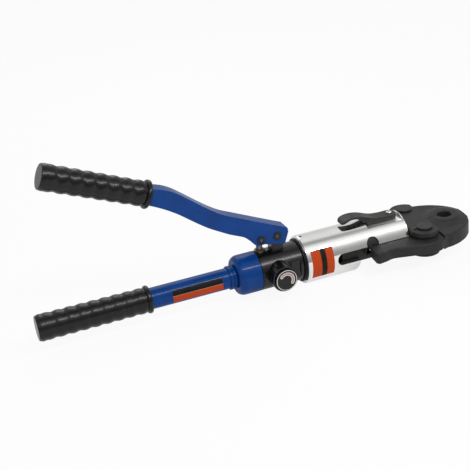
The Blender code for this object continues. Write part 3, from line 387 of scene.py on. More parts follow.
@dataclass(frozen=True)
class ForgedSteel(Finish):
    """Forged steel with a dark grey phosphate skin."""

    grain: float = 0.0007

    def dress(self, board: Board) -> None:
        """Fine pitted grain, large soft mottling and lighter crests."""
        fine = board.noise(self.grain, 4.0)
        mottle = board.noise(0.009, 4.0)
        speck = board.noise(0.00022, 1.0)
        tone = 0.55 * mottle + 0.45 * fine
        board.set(base_color=self.shades(board, tone.rise(0.30, 0.72), 0.78, 1.28),
                  roughness=self.roughness + mottle.sway(0.14),
                  normal=board.bump(fine + 0.4 * speck, 0.00006))


@dataclass(frozen=True)
class TurnedMetal(Finish):
    """Bare metal with fine tool lines across a chosen axis.

    Attributes:
        stretch: factors that draw the lines out.
        line: width of a line.
        depth: height of the lines.
        smear: how much handling marks change the gloss.
    """

    stretch: Triple = (1.0, 0.03, 0.03)
    line: float = 0.0003
    depth: float = 0.000004
    smear: float = 0.08

    def turned(self, board: Board, dark: float, light: float) -> tuple[Wire, Wire, Wire]:
        """Colour, roughness and height of tool lines with faint handling marks."""
        lines = board.noise(self.line, 2.0, self.stretch)
        cloud = board.noise(0.020, 3.0)
        tone = self.shades(board, 0.6 * lines.rise() + 0.4 * cloud.rise(), dark, light)
        shine = self.roughness + cloud.sway(self.smear) + lines.sway(0.6 * self.smear)
        return tone, shine, lines

    def dress(self, board: Board) -> None:
        """Tool lines all over."""
        tone, shine, lines = self.turned(board, 0.93, 1.05)
        board.set(base_color=tone, metallic=1.0, roughness=shine,
                  normal=board.bump(lines, self.depth))


@dataclass(frozen=True)
class SleeveMetal(TurnedMetal):
    """Mirror-turned barrel with painted shade in its bore and on the milled walls of its slot, and
    rough milled faces.

    Attributes:
        bore: radius under which the metal is painted dark as shade.
        skin: radius under which a face is milled.
        slot: height up to which the milled faces are painted dark as shade.
        bore_shade_colour: colour of the painted shade in there.
    """

    bore: float = 0.0209
    skin: float = 0.0260
    slot: float = 0.0170
    bore_shade_colour: Colour = grey(0.05)

    def dress(self, board: Board) -> None:
        """Polished tool lines outside, painted shade on the machined steel inside."""
        _, y, z = board.axes()
        reach = distance(y, z)
        milled = reach.below(self.skin, 0.0001)
        # Painted shade: the bore and the slot's milled walls below the given height are coloured
        # dark for the shade that falls in them.
        inside = reach.below(self.bore, 0.0001).greater(milled * abs(z).below(self.slot, 0.0001))
        tone, shine, lines = self.turned(board, 0.94, 1.04)
        board.set(base_color=board.mix(inside, tone, self.bore_shade_colour),
                  metallic=1.0 - 0.6 * inside, roughness=shine + 0.34 * milled,
                  normal=board.bump(lines, self.depth))


@dataclass(frozen=True)
class BandedFilm(Finish):
    """Printed vinyl film in plain bands along one axis.

    Attributes:
        axis: 0 for X, 2 for Z.
        bands: (upper limit, colour) pairs in rising order.
        dust: colour of the faint haze on the film.
    """

    axis: int = 0
    bands: tuple[tuple[float, Colour], ...] = ()
    dust: Colour = (0.9, 0.85, 0.8)

    def dress(self, board: Board) -> None:
        """Lay the bands side by side under a satin film."""
        along = board.axes()[self.axis]
        soft = 0.00004
        colour: Value = self.bands[0][1]
        for (edge, _), (_, tint) in zip(self.bands, self.bands[1:]):
            colour = board.mix(along.rise(edge - soft, edge + soft), colour, tint)
        cloud = board.noise(0.006, 3.0)
        board.set(base_color=board.mix(0.015 * cloud, colour, self.dust),
                  roughness=self.roughness + cloud.sway(0.1),
                  normal=board.bump(board.noise(0.0008, 1.0), 0.000008))


@dataclass(frozen=True)
class DialFace(Finish):
    """Dark knob face with a white rim line, the painted glint of a bright bare edge, and a printed
    curved band for the turning direction.

    Attributes:
        centre: X and Z of the knob's axis.
        ring: radius of the rim line, the painted glint of the knob's bright bare edge.
        rim_glint_half: half width of that painted glint.
        arc: radius of the band's middle line.
        half_width: half width of the band.
        border: width of the band's white border.
        start: where the band starts, in degrees.
        end: where the band ends, in degrees.
        white: colour of the painted rim glint and of the printed border.
        red: colour inside the border.
    """

    centre: Span = (0.0, 0.0)
    ring: float = 0.0111
    rim_glint_half: float = 0.00035
    arc: float = 0.0072
    half_width: float = 0.0017
    border: float = 0.0008
    start: float = -31.0
    end: float = 139.0
    white: Colour = (0.72, 0.71, 0.70)
    red: Colour = (0.42, 0.22, 0.20)

    def dress(self, board: Board) -> None:
        """Paint the rim glint, and the printed band from the distance to an arc."""
        across, up, reach = board.around(self.centre)
        middle = math.radians((self.start + self.end) / 2)
        half = math.radians((self.end - self.start) / 2)
        turned_up = up * math.cos(middle) - across * math.sin(middle)
        turned_across = across * math.cos(middle) + up * math.sin(middle)
        inside = abs(turned_up.angle_from(turned_across)).below(half, 0.001)
        tip = distance(turned_across - self.arc * math.cos(half),
                       abs(turned_up) - self.arc * math.sin(half))
        gap = abs(reach - self.arc) * inside + tip * (1.0 - inside)
        band = gap.below(self.half_width, 0.00015)
        # Painted highlight: the rim line is the knob's bright bare edge with its glint painted on
        # in white, all the way round.
        rim = abs(reach - self.ring).below(self.rim_glint_half, 0.0001)
        core = gap.below(self.half_width - self.border, 0.0002)
        grain = board.noise(0.0006, 2.0)
        face = self.shades(board, grain.rise(), 0.8, 1.3)
        # The printed band and the painted rim glint, both in white, over the dark face.
        print_and_glint = board.mix(band.greater(rim), face, self.white)
        board.set(base_color=board.mix(core, print_and_glint, self.red), roughness=self.roughness,
                  normal=board.bump(grain, 0.00002))


class Palette:
    """Every finish of the press, made once."""

    def __init__(self, at: "Layout") -> None:
        """Make the materials, the pins' and the dial's round their own middles."""
        x, _, z = at.lever_pivot
        orange, black, pin = (0.50, 0.050, 0.003), grey(0.003), (0.0070, 0.0068, 0.0064)
        round_z = (0.05, 0.05, 1.0)
        self.enamel = Enamel("blue_enamel", (0.0010, 0.0440, 0.2200), 0.40, 0.05).make()
        self.rubber = MouldedRubber("grip_vinyl", (0.0034, 0.0034, 0.0035), 0.26, 0.36).make()
        self.seal = MouldedRubber("seal_rubber", grey(0.0050), 0.50).make()
        self.blacked = BlackedSteel("black_oxide", (0.0036, 0.0036, 0.0037), 0.24, 0.45).make()
        self.forged = ForgedSteel("phosphated_steel", (0.0240, 0.0240, 0.0236), 0.52, 0.2).make()
        self.plate = ForgedSteel("plate_steel", (0.0270, 0.0270, 0.0260), 0.50, 0.2, 0.0005).make()
        self.latch = ForgedSteel("latch_steel", (0.0220, 0.0220, 0.0210), 0.46, 0.3, 0.0006).make()
        self.cast = ForgedSteel("cast_carriage", (0.0160, 0.0160, 0.0150), 0.45, 0.3, 0.0012).make()
        self.pivot = HeadedSteel("pivot_pin_steel", pin, 0.40, 0.4, (x, z)).make()
        self.driver = HeadedSteel("drive_pin_steel", pin, 0.40, 0.4, (at.plunger, z)).make()
        self.polished = SleeveMetal("polished_sleeve", (0.88, 0.88, 0.87), 0.10, 0.5).make()
        self.ground = TurnedMetal("ground_steel", grey(0.42), 0.32, 0.5, round_z).make()
        self.bright = TurnedMetal("bright_steel", grey(0.72), 0.16, 0.5, UNSTRETCHED, 0.0006).make()
        self.bronze = TurnedMetal("bronze", (0.13, 0.105, 0.07), 0.36, 0.5, round_z).make()
        self.wire = TurnedMetal("spring_wire", grey(0.20), 0.34, 0.5, UNSTRETCHED).make()
        self.head_film = BandedFilm("sleeve_film", orange, 0.45, 0.12, 0, (
            (0.3033, orange), (0.3093, black), (1.0, orange))).make()
        self.tube_film = BandedFilm("tube_film", orange, 0.45, 0.12, 2, (
            (0.0013, orange), (0.0015, (0.6, 0.45, 0.35)), (1.0, black))).make()
        self.dial = DialFace("dial_face", grey(0.012), 0.42, 0.3, (at.knob, 0.0)).make()


# Shapes


def rounded(points: Sequence[Point], closed: bool = True, segments: int = 4) -> Outline:
    """Round the corners of a line whose points carry a radius as third value.

    Args:
        points: (u, v) or (u, v, radius).
        closed: whether the last point joins the first.
        segments: steps of each rounding.

    Returns:
        The rounded points.
    """
    result: Outline = []
    count = len(points)
    for index, point in enumerate(points):
        here = Vector(point[:2])
        radius = point[2] if len(point) > 2 else 0.0
        at_end = not closed and index in (0, count - 1)
        if radius <= 0.0 or at_end:
            result.append(tuple(here))
            continue
        back = Vector(points[index - 1][:2]) - here
        ahead = Vector(points[(index + 1) % count][:2]) - here
        half = back.angle(ahead) / 2
        reach = min(radius / math.tan(half), 0.49 * back.length, 0.49 * ahead.length)
        start, end = here + back.normalized() * reach, here + ahead.normalized() * reach
        inward = (back.normalized() + ahead.normalized()).normalized()
        middle = here + inward * (reach / math.cos(half))
        first, last = start - middle, end - middle
        sweep = first.angle_signed(last)
        for step in range(segments + 1):
            turn = -sweep * step / segments
            cos, sin = math.cos(turn), math.sin(turn)
            result.append((middle.x + first.x * cos - first.y * sin,
                           middle.y + first.x * sin + first.y * cos))
    return result


def arc(centre: Point, radius: float, start: float, end: float, count: int) -> Outline:
    """Points on an arc, angles in degrees, both ends included."""
    angles = [math.radians(start + (end - start) * step / count) for step in range(count + 1)]
    return [(centre[0] + radius * math.cos(a), centre[1] + radius * math.sin(a)) for a in angles]


def smooth_path(points: Sequence[Point], per_span: int) -> Outline:
    """Catmull-Rom curve through the points, ends included."""
    guides = [points[0], *points, points[-1]]
    path: Outline = []
    for index in range(len(points) - 1):
        p0, p1, p2, p3 = (Vector(guide) for guide in guides[index:index + 4])
        for step in range(per_span):
            t = step / per_span
            point = 0.5 * (2 * p1 + (p2 - p0) * t + (2 * p0 - 5 * p1 + 4 * p2 - p3) * t ** 2
                           + (3 * p1 - p0 - 3 * p2 + p3) * t ** 3)
            path.append((point.x, point.y))
    return path + [tuple(points[-1][:2])]


def ease(value: float, low: float, high: float) -> float:
    """Smooth step from 0 to 1."""
    t = min(1.0, max(0.0, (value - low) / (high - low)))
    return t * t * (3.0 - 2.0 * t)


class Form:
    """A closed shape under construction, kept as a bmesh."""

    def __init__(self) -> None:
        """Start empty."""
        self.bm = bmesh.new()

    @classmethod
    def spun(cls, profile: Sequence[Point], axis: Matrix = ALONG_X, centre: Point = ORIGIN,
             steps: int = 96, start: float = 0.0, turn: float = 360.0) -> "Form":
        """Spin a profile of (along, radius) points about an axis.

        Args:
            profile: points, on the axis at both ends or closed as a ring.
            axis: turns X to the wanted axis.
            centre: point on that axis.
            steps: sides of a full turn.
            start: first angle in degrees.
            turn: angle swept in degrees.

        Returns:
            The shape.
        """
        form = cls()
        verts = [form.bm.verts.new((along, radius, 0.0)) for along, radius in profile]
        edges = [form.bm.edges.new(pair) for pair in zip(verts, verts[1:])]
        if profile[0][1] > 0.0 or profile[-1][1] > 0.0:
            edges.append(form.bm.edges.new((verts[-1], verts[0])))
        form.bm.transform(Matrix.Rotation(math.radians(start), 4, "X"))
        whole = turn >= 360.0
        bmesh.ops.spin(form.bm, geom=verts + edges, axis=(1.0, 0.0, 0.0), angle=math.radians(turn),
                       steps=max(2, round(steps * turn / 360.0)), use_merge=whole)
        bmesh.ops.remove_doubles(form.bm, verts=form.bm.verts, dist=1e-7)
        if not whole:
            rims = [edge for edge in form.bm.edges if edge.is_boundary]
            bmesh.ops.holes_fill(form.bm, edges=rims, sides=0)
        form.bm.transform(Matrix.Translation(Vector(centre)) @ axis)
        return form._outward()

    @classmethod
    def extruded(cls, outline: Sequence[Point], view: View, low: float, high: float) -> "Form":
        """Extrude a flat outline between two places, along Z in plan and along Y from the side."""
        form = cls()
        along_z = view is View.PLAN
        points = [(u, v, low) if along_z else (u, low, v) for u, v in outline]
        face = form.bm.faces.new([form.bm.verts.new(point) for point in points])
        grown = bmesh.ops.extrude_face_region(form.bm, geom=[face])["geom"]
        travel = Vector((0.0, 0.0, high - low)) if along_z else Vector((0.0, high - low, 0.0))
        moving = [item for item in grown if isinstance(item, bmesh.types.BMVert)]
        bmesh.ops.translate(form.bm, verts=moving, vec=travel)
        return form._outward()

    @classmethod
    def block(cls, low: Point, high: Point) -> "Form":
        """Box between two corners."""
        form = cls()
        size = Matrix.Diagonal((*(Vector(high) - Vector(low)), 1.0))
        place = Matrix.Translation((Vector(low) + Vector(high)) / 2)
        bmesh.ops.create_cube(form.bm, size=1.0, matrix=place @ size)
        return form

    @classmethod
    def rod(cls, start: float, end: float, radius: float, axis: Matrix = ALONG_X,
            centre: Point = ORIGIN, edge: float = 0.0, steps: int = 64) -> "Form":
        """Round bar with rounded ends."""
        profile = [(start, 0.0), (start, radius, edge), (end, radius, edge), (end, 0.0)]
        return cls.spun(rounded(profile, False, 3), axis, centre, steps)

    @classmethod
    def upright(cls, low: float, high: float, radius: float, x: float, y: float = 0.0,
                edge: float = 0.0, steps: int = 64) -> "Form":
        """Round bar along Z."""
        return cls.rod(low, high, radius, ALONG_Z, (x, y, 0.0), edge, steps)

    @classmethod
    def across(cls, start: float, end: float, radius: float, x: float, z: float = 0.0,
               edge: float = 0.0, steps: int = 64) -> "Form":
        """Round bar along -Y."""
        return cls.rod(start, end, radius, ALONG_MINUS_Y, (x, 0.0, z), edge, steps)

    @classmethod
    def ring(cls, start: float, end: float, inner: float, outer: float, axis: Matrix = ALONG_X,
             centre: Point = ORIGIN, edge: float = 0.0003, steps: int = 64) -> "Form":
        """Ring or tube with rounded rims."""
        profile = [(along, reach, edge) for along, reach in (
            (start, inner), (start, outer), (end, outer), (end, inner))]
        return cls.spun(rounded(profile, True, 3), axis, centre, steps)

    @classmethod
    def film(cls, ends: Span, radius: float, angles: Span, steps: int) -> "Form":
        """Thin film laid on part of a tube.

        Args:
            ends: where it starts and ends along X.
            radius: the tube's radius.
            angles: lower and upper edge, in degrees up from the knob's side.
            steps: sides of a full turn.

        Returns:
            The film, a hair above the tube.
        """
        (start, end), (low, high) = ends, angles
        inner, outer = radius + FILM_UNDER, radius + FILM_TOP
        strip = [(start, inner), (start, outer), (end, outer), (end, inner)]
        return cls.spun(strip, ALONG_X, ORIGIN, steps, 180.0 - high, high - low)

    def _outward(self) -> "Form":
        """Turn all faces outwards."""
        bmesh.ops.recalc_face_normals(self.bm, faces=self.bm.faces)
        if self.bm.calc_volume(signed=True) < 0.0:
            bmesh.ops.reverse_faces(self.bm, faces=self.bm.faces)
        return self

    def moved(self, matrix: Matrix) -> "Form":
        """Place the shape."""
        self.bm.transform(matrix)
        return self

    def mirrored(self) -> "Form":
        """Mirror across the XZ plane."""
        bmesh.ops.scale(self.bm, vec=(1.0, -1.0, 1.0), verts=self.bm.verts)
        return self._outward()

    def bevelled(self, width: float, segments: int = 2, angle: float = 32.0,
                 chosen: Optional[Callable[[bmesh.types.BMEdge], bool]] = None) -> "Form":
        """Round the sharp edges.

        Args:
            width: distance from the edge.
            segments: steps across.
            angle: edges flatter than this in degrees stay.
            chosen: extra test an edge has to pass.

        Returns:
            This shape.
        """
        self.bm.normal_update()
        edges = [edge for edge in self.bm.edges if edge.is_manifold
                 and edge.calc_face_angle(0.0) > math.radians(angle)
                 and (chosen is None or chosen(edge))]
        bmesh.ops.bevel(self.bm, geom=edges, offset=width, offset_type="OFFSET",
                        segments=segments, profile=0.5, affect="EDGES", material=-1,
                        clamp_overlap=True, loop_slide=True)
        bmesh.ops.remove_doubles(self.bm, verts=self.bm.verts, dist=MERGE)
        return self

    def _combined(self, operation: str, others: Iterable["Form"]) -> "Form":
        """Combine with other shapes by exact booleans, one after another."""
        for other in others:
            mine, tool = self._loose("work"), other._loose("tool")
            modifier = mine.modifiers.new("combine", "BOOLEAN")
            modifier.operation, modifier.solver, modifier.object = operation, "EXACT", tool
            bpy.context.view_layer.update()
            graph = bpy.context.evaluated_depsgraph_get()
            mesh = bpy.data.meshes.new_from_object(mine.evaluated_get(graph))
            self.bm = bmesh.new()
            self.bm.from_mesh(mesh)
            for item in (mine, tool):
                old = item.data
                bpy.data.objects.remove(item)
                bpy.data.meshes.remove(old)
            bpy.data.meshes.remove(mesh)
            bmesh.ops.remove_doubles(self.bm, verts=self.bm.verts, dist=MERGE)
            bmesh.ops.dissolve_degenerate(self.bm, edges=self.bm.edges, dist=MERGE)
        return self

    def _loose(self, name: str) -> bpy.types.Object:
        """Make a temporary object of the shape."""
        mesh = bpy.data.meshes.new(name)
        self.bm.to_mesh(mesh)
        self.bm.free()
        item = bpy.data.objects.new(name, mesh)
        bpy.context.collection.objects.link(item)
        return item

    def minus(self, *others: "Form") -> "Form":
        """Cut other shapes away."""
        return self._combined("DIFFERENCE", others)

    def plus(self, *others: "Form") -> "Form":
        """Grow other shapes on."""
        return self._combined("UNION", others)

    def common(self, *others: "Form") -> "Form":
        """Keep only what lies in the other shapes too."""
        return self._combined("INTERSECT", others)

    def scored(self, axis: int, *places: float) -> "Form":
        """Add cut lines across an axis at the given places, without opening the shape."""
        for place in places:
            point, normal = Vector(), Vector()
            point[axis], normal[axis] = place, 1.0
            geom = self.bm.verts[:] + self.bm.edges[:] + self.bm.faces[:]
            bmesh.ops.bisect_plane(self.bm, geom=geom, dist=1e-6, plane_co=point, plane_no=normal)
        return self

    def sliced(self, axis: int, start: float, end: float, step: float) -> "Form":
        """Score evenly from start to end."""
        count = int((end - start) / step)
        places = (start + index * (end - start) / count for index in range(1, count))
        return self.scored(axis, *places)

    def piece(self, name: str, finish: bpy.types.Material,
              crease: float = 34.0) -> bpy.types.Object:
        """Make the finished object.

        Args:
            name: piece name.
            finish: its material.
            crease: edges sharper than this in degrees stay sharp.

        Returns:
            The object, in place.
        """
        mesh = bpy.data.meshes.new(name)
        self.bm.to_mesh(mesh)
        self.bm.free()
        mesh.materials.append(finish)
        mesh.shade_smooth()
        mesh.set_sharp_from_angle(angle=math.radians(crease))
        item = bpy.data.objects.new(name, mesh)
        bpy.context.collection.objects.link(item)
        even = item.modifiers.new("even_shading", "WEIGHTED_NORMAL")
        even.keep_sharp = True
        return item


# Assembling


class Bench:
    """Puts finished pieces on their bodies and keeps count."""

    def __init__(self) -> None:
        """Start with an empty bench."""
        self.count = 0

    def fit(self, form: Form, name: str, body: Body, slot: str, finish: bpy.types.Material,
            replaces: Sequence[str] = (), crease: float = 34.0) -> bpy.types.Object:
        """Finish a shape and let it ride on its body.

        Args:
            form: the shape.
            name: piece name.
            body: the body that carries it.
            slot: name of a record slot for its finish; not used.
            finish: material.
            replaces: CAD nodes it stands for.
            crease: edge angle that stays sharp, in degrees.

        Returns:
            The piece.
        """
        item = form.piece(name, finish, crease)
        if replaces:
            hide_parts(*replaces)
        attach(item, body.value)
        self.count += 1
        log.info("%s rides on %s, %d faces", name, body.value, len(item.data.polygons))
        return item

    def keep(self, finish: bpy.types.Material, *names: str) -> None:
        """Give CAD nodes that stay a better material."""
        for name in names:
            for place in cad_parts[name].material_slots:
                place.material = finish
            log.info("%s keeps its shape, finished as %s", name, finish.name)


@dataclass
class Layout:
    """Places along the tool, and sizes, that the sub-assemblies share."""

    grip_length: float = 0.1190
    collar: float = 0.2052
    cap: float = 0.2128
    body: float = 0.2381
    ring: float = 0.2853
    head: float = 0.2870
    sleeve_front: float = 0.4095
    jaw_pivot: float = 0.4285
    tip: float = 0.4882
    pin: float = 0.3987
    knob: float = 0.2570
    knob_radius: float = 0.0120
    pivot_offset: float = 0.0264
    jaw_pin: float = 0.0060
    latch_half: float = 0.0075
    roller: float = 0.3530
    roller_radius: float = 0.0100
    lever_pivot: Triple = (0.2619, 0.0, 0.0382)
    plunger: float = 0.2438
    lever_tail: Triple = (0.1324, 0.0, 0.1136)
    tail_slope: float = math.radians(23.0)
    set_turn: float = math.radians(-5.0)

    def on_set(self) -> Matrix:
        """How the resting jaw set is turned about the retaining pin."""
        there = Matrix.Translation((self.pin, 0.0, 0.0))
        return there @ Matrix.Rotation(self.set_turn, 4, "Z") @ there.inverted()

    def on_tail(self) -> Matrix:
        """How the upper grip's axis is turned, from its mouth down to the pivot."""
        return Matrix.Rotation(math.pi + self.tail_slope, 4, "Y")


@dataclass
class Assembly:
    """What every sub-assembly works with.

    Attributes:
        bench: takes the finished pieces.
        palette: the finishes.
        at: the shared places.
    """

    bench: Bench
    palette: Palette
    at: Layout


@dataclass
class Grips(Assembly):
    """Both rubber grips: soft ribs, a flat butt and a bead at the mouth."""

    end_radius: float = 0.0128
    end_round: float = 0.0012
    butt: float = 0.0040
    bead_radius: float = 0.0148
    bead_length: float = 0.0048
    bead_root: float = 0.0005
    bead_steps: int = 14
    bead_fullness: float = 0.7
    depth: float = 0.0010
    first_rib: float = 0.0050
    rib_steps: int = 12
    rib_sharpness: float = 1.4
    rib_fade: Span = (0.004, 0.010)
    taper: float = 0.0005
    lower_radius: float = 0.0141
    lower_pitch: float = 0.0121
    lower_bore: float = 0.0115
    upper_length: float = 0.112
    upper_radius: float = 0.0136
    upper_pitch: float = 0.0130
    upper_bore: float = 0.0096
    upper_bore_depth: float = 0.0785

    def outline(self, length: float, radius: float, pitch: float, bore: float,
                floor: float) -> Outline:
        """Closed profile of a grip: butt, ribs counted back from the bead, bead and bore.

        Args:
            length: length of the grip.
            radius: radius over the ribs.
            pitch: distance between ribs.
            bore: radius of the bore.
            floor: how far the bore ends from the butt.

        Returns:
            The profile.
        """
        points: Outline = rounded([(0.0, 0.0), (0.0, self.end_radius, self.end_round),
                                   (self.butt, radius)], False)
        last, steps = length - self.bead_length, self.rib_steps
        for step in range(int((last - self.first_rib) / pitch * steps), -1, -1):
            wave = 0.5 + 0.5 * math.cos(math.tau * step / steps)
            along = last - pitch * step / steps
            rib = self.depth * ease(along, *self.rib_fade) * wave ** self.rib_sharpness
            points.append((along, radius - self.taper * along / length - rib))
        half, low = self.bead_length / 2, radius - self.depth - self.bead_root
        for step in range(1, self.bead_steps):
            angle = math.radians(180.0 * step / self.bead_steps)
            bulge = (self.bead_radius - low) * math.sin(angle) ** self.bead_fullness
            points.append((last + half - half * math.cos(angle), low + bulge))
        return points + [(length, low), (length, bore), (floor, bore), (floor, 0.0)]

    def build(self) -> None:
        """Make both grips."""
        at, rubber = self.at, self.palette.rubber
        lower = self.outline(at.grip_length, self.lower_radius, self.lower_pitch, self.lower_bore,
                             self.butt)
        self.bench.fit(Form.spun(lower), "grip_lower", Body.BODY, "grip_rubber", rubber,
                       ["lower_grip"])
        length = self.upper_length
        upper = self.outline(length, self.upper_radius, self.upper_pitch, self.upper_bore,
                             length - self.upper_bore_depth)
        flipped = [(length - along, radius) for along, radius in upper]
        self.bench.fit(Form.spun(flipped, at.on_tail(), at.lever_tail), "grip_upper", Body.LEVER,
                       "grip_rubber", rubber, ["upper_grip"])


@dataclass
class Reservoir(Assembly):
    """Blue reservoir tube, collar and cap, with the plain film on the tube."""

    tube_start: float = 0.0043
    tube_radius: float = 0.0112
    tube_bore: float = 0.0097
    tube_in_cap: float = 0.0077
    collar_length: float = 0.0070
    collar_radius: float = 0.0128
    groove_mouth: float = 0.0007
    groove_floor: float = 0.0005
    groove_depth: float = 0.0008
    cap_length: float = 0.0250
    cap_radius: float = 0.0217
    cap_shoulder: float = 0.0168
    cap_shoulder_length: float = 0.0080
    socket: float = 0.0173
    socket_depth: float = 0.0123
    film: Span = (0.141, 0.196)
    film_angles: Span = (-34.0, 39.0)

    def build(self) -> None:
        """Make the pieces."""
        at, palette, fit = self.at, self.palette, self.bench.fit
        tube = Form.ring(self.tube_start, at.cap + self.tube_in_cap - SEAT, self.tube_bore,
                         self.tube_radius)
        fit(tube, "tube", Body.BODY, "blue_paint", palette.enamel, ["reservoir_tube"])
        fit(self.collar_form(), "collar", Body.BODY, "blue_paint", palette.enamel, ["tube_collar"])
        fit(self.cap_form(), "cap", Body.BODY, "blue_paint", palette.enamel, ["reservoir_cap"])
        fit(Form.film(self.film, self.tube_radius, self.film_angles, 144), "tube_film", Body.BODY,
            "blue_paint", palette.tube_film)
        self.bench.keep(palette.seal, "oil_bladder")

    def collar_form(self) -> Form:
        """Collar with a turned groove."""
        start, end = self.at.collar, self.at.collar + self.collar_length
        bore, radius = self.tube_radius + SEAT, self.collar_radius
        middle, floor = (start + end) / 2, radius - self.groove_depth
        mouth, narrow = self.groove_mouth, self.groove_floor
        return Form.spun(rounded([
            (start, bore), (start, radius, 0.0006), (middle - mouth, radius, 0.0003),
            (middle - narrow, floor, 0.0002), (middle + narrow, floor, 0.0002),
            (middle + mouth, radius, 0.0003), (end, radius, 0.0004), (end, bore)]))

    def cap_form(self) -> Form:
        """Cap with a round shoulder and a socket for the body's tail."""
        start, end = self.at.cap, self.at.cap + self.cap_length
        rise, steps = self.cap_radius - self.cap_shoulder, 16
        shoulder = [(start + self.cap_shoulder_length * (1 - math.cos(a)),
                     self.cap_shoulder + rise * math.sin(a))
                    for a in (math.radians(90.0 * step / steps) for step in range(steps + 1))]
        floor, hole = end - self.socket_depth, self.tube_radius + SEAT
        rim = rounded([shoulder[-1], (end, self.cap_radius, 0.0008), (end, self.socket, 0.0003),
                       (floor, self.socket), (floor, hole), (start, hole)], False)
        return Form.spun(shoulder[:-1] + rim)


@dataclass
class PumpBody(Assembly):
    """Black pump body with its lug, knob boss, ring, gland and lever pin.

    Attributes:
        gland: height of the gland's foot and of its top.
        gland_collar: height of its collar's underside, and the collar's radius.
    """

    length: float = 0.0471
    radius: float = 0.0216
    rim: float = 0.0007
    tail_radius: float = 0.0170
    tail_length: float = 0.0120
    flat_depth: float = 0.0021
    flat_margin: float = 0.0040
    spigot: float = 0.0202
    spigot_end: float = 0.3170
    groove_at: float = 0.2915
    groove_half: float = 0.0020
    groove_depth: float = 0.0014
    cylinder: float = 0.0150
    cylinder_rear: float = 0.2770
    ring_radius: float = 0.0238
    lug_half: float = 0.0056
    lug_radius: float = 0.0062
    lug_sunk: float = 0.0060
    lug_toe: float = 0.0015
    lug_heel: float = 0.0030
    boss_radius: float = 0.0141
    boss_face: float = 0.0350
    knob_floor: float = 0.0267
    spindle_radius: float = 0.0038
    spindle_floor: float = 0.0010
    gland: Span = (0.0175, 0.0241)
    gland_collar: Span = (0.0226, 0.0058)
    gland_radius: float = 0.0050
    well_radius: float = 0.0037
    well_floor: float = -0.0108
    pin_radius: float = 0.0036

    def build(self) -> None:
        """Make the pieces."""
        at, palette, fit = self.at, self.palette, self.bench.fit
        fit(self.body_form(), "body", Body.BODY, "blackened_steel", palette.blacked, ["pump_body"],
            30.0)
        ring = Form.ring(at.ring, at.head - SEAT, self.spigot + SEAT, self.ring_radius,
                         edge=0.0004, steps=128)
        fit(ring, "body_seal_ring", Body.BODY, "seal_rubber", palette.seal, ["body_ring"])
        fit(self.gland_form(), "gland", Body.BODY, "bronze", palette.bronze, ["plunger_gland"])
        fit(cross_pin(at.lever_pivot, self.pin_radius), "lever_pin", Body.BODY, "ground_steel",
            palette.pivot, ["lever_pivot_pin"])
        self.bench.keep(palette.bright, "inlet_ball", "release_ball")
        self.bench.keep(palette.ground, "cylinder_cap")
        self.bench.keep(palette.wire, "ram_return_spring")

    def body_form(self) -> Form:
        """Turned body joined to its lug and boss, then bored."""
        at, radius = self.at, self.radius
        x, rear, front = at.knob, at.body - self.tail_length, at.body + self.length
        groove, before = self.spigot - self.groove_depth, self.groove_at - self.groove_half
        after = self.groove_at + self.groove_half
        turned = Form.spun(rounded([
            (rear, 0.0), (rear, self.tail_radius, 0.0005), (at.body, self.tail_radius),
            (at.body, radius, self.rim), (front, radius, self.rim), (front, self.spigot),
            (before, self.spigot), (before, groove), (after, groove), (after, self.spigot),
            (self.spigot_end, self.spigot, 0.0005), (self.spigot_end, 0.0)], False, 3), steps=128)
        boss = Form.across(radius * 0.5, self.boss_face, self.boss_radius, x, 0.0, 0.0008, 96)
        turned.plus(self.lug_form(), boss)
        flat = Form.block((x + self.boss_radius + 0.0001, -radius - 0.001, -radius),
                          (front - self.flat_margin, self.flat_depth - radius, radius))
        turned.minus(
            Form.rod(self.cylinder_rear, self.spigot_end + 0.001, self.cylinder, steps=96), flat,
            Form.across(self.knob_floor, OUT, at.knob_radius + SEAT, x, steps=96),
            Form.across(self.spindle_floor, OUT, self.spindle_radius, x, steps=32),
            Form.upright(self.gland[0] - SEAT, OUT, self.gland_radius + SEAT, at.plunger, steps=48),
            Form.upright(self.well_floor, OUT, self.well_radius, at.plunger, steps=32),
            Form.rod(-THROUGH, THROUGH, self.pin_radius + SEAT, ALONG_MINUS_Y, at.lever_pivot,
                     steps=48))
        return turned.bevelled(0.00035, 2, 40.0, self.outside)

    def outside(self, edge: bmesh.types.BMEdge) -> bool:
        """Whether an edge lies on the body's visible outside."""
        middle = (edge.verts[0].co + edge.verts[1].co) / 2
        between = self.at.body + 0.001 < middle.x < self.at.ring - 0.001
        return between and middle.yz.length > self.radius - 0.003

    def lug_form(self) -> Form:
        """Upright lug that carries the lever's pivot pin."""
        x, _, z = self.at.lever_pivot
        foot, rear = self.radius - self.lug_sunk, x - self.lug_radius
        crown = arc((x, z), self.lug_radius, -12.0, 192.0, 24)
        outline = [(x + self.lug_radius + self.lug_toe, foot), *crown,
                   (rear, self.radius + self.lug_heel), (rear, foot)]
        return Form.extruded(outline, View.SIDE, -self.lug_half, self.lug_half)

    def gland_form(self) -> Form:
        """Gland with a collar, round the plunger."""
        (low, high), (seat, collar) = self.gland, self.gland_collar
        outer, inner = self.gland_radius, self.well_radius
        return Form.spun(rounded([
            (low, inner), (low, outer), (seat, outer, 0.0002), (seat, collar, 0.0003),
            (high, collar, 0.0005), (high, inner, 0.0003)]), ALONG_Z, (self.at.plunger, 0.0, 0.0))


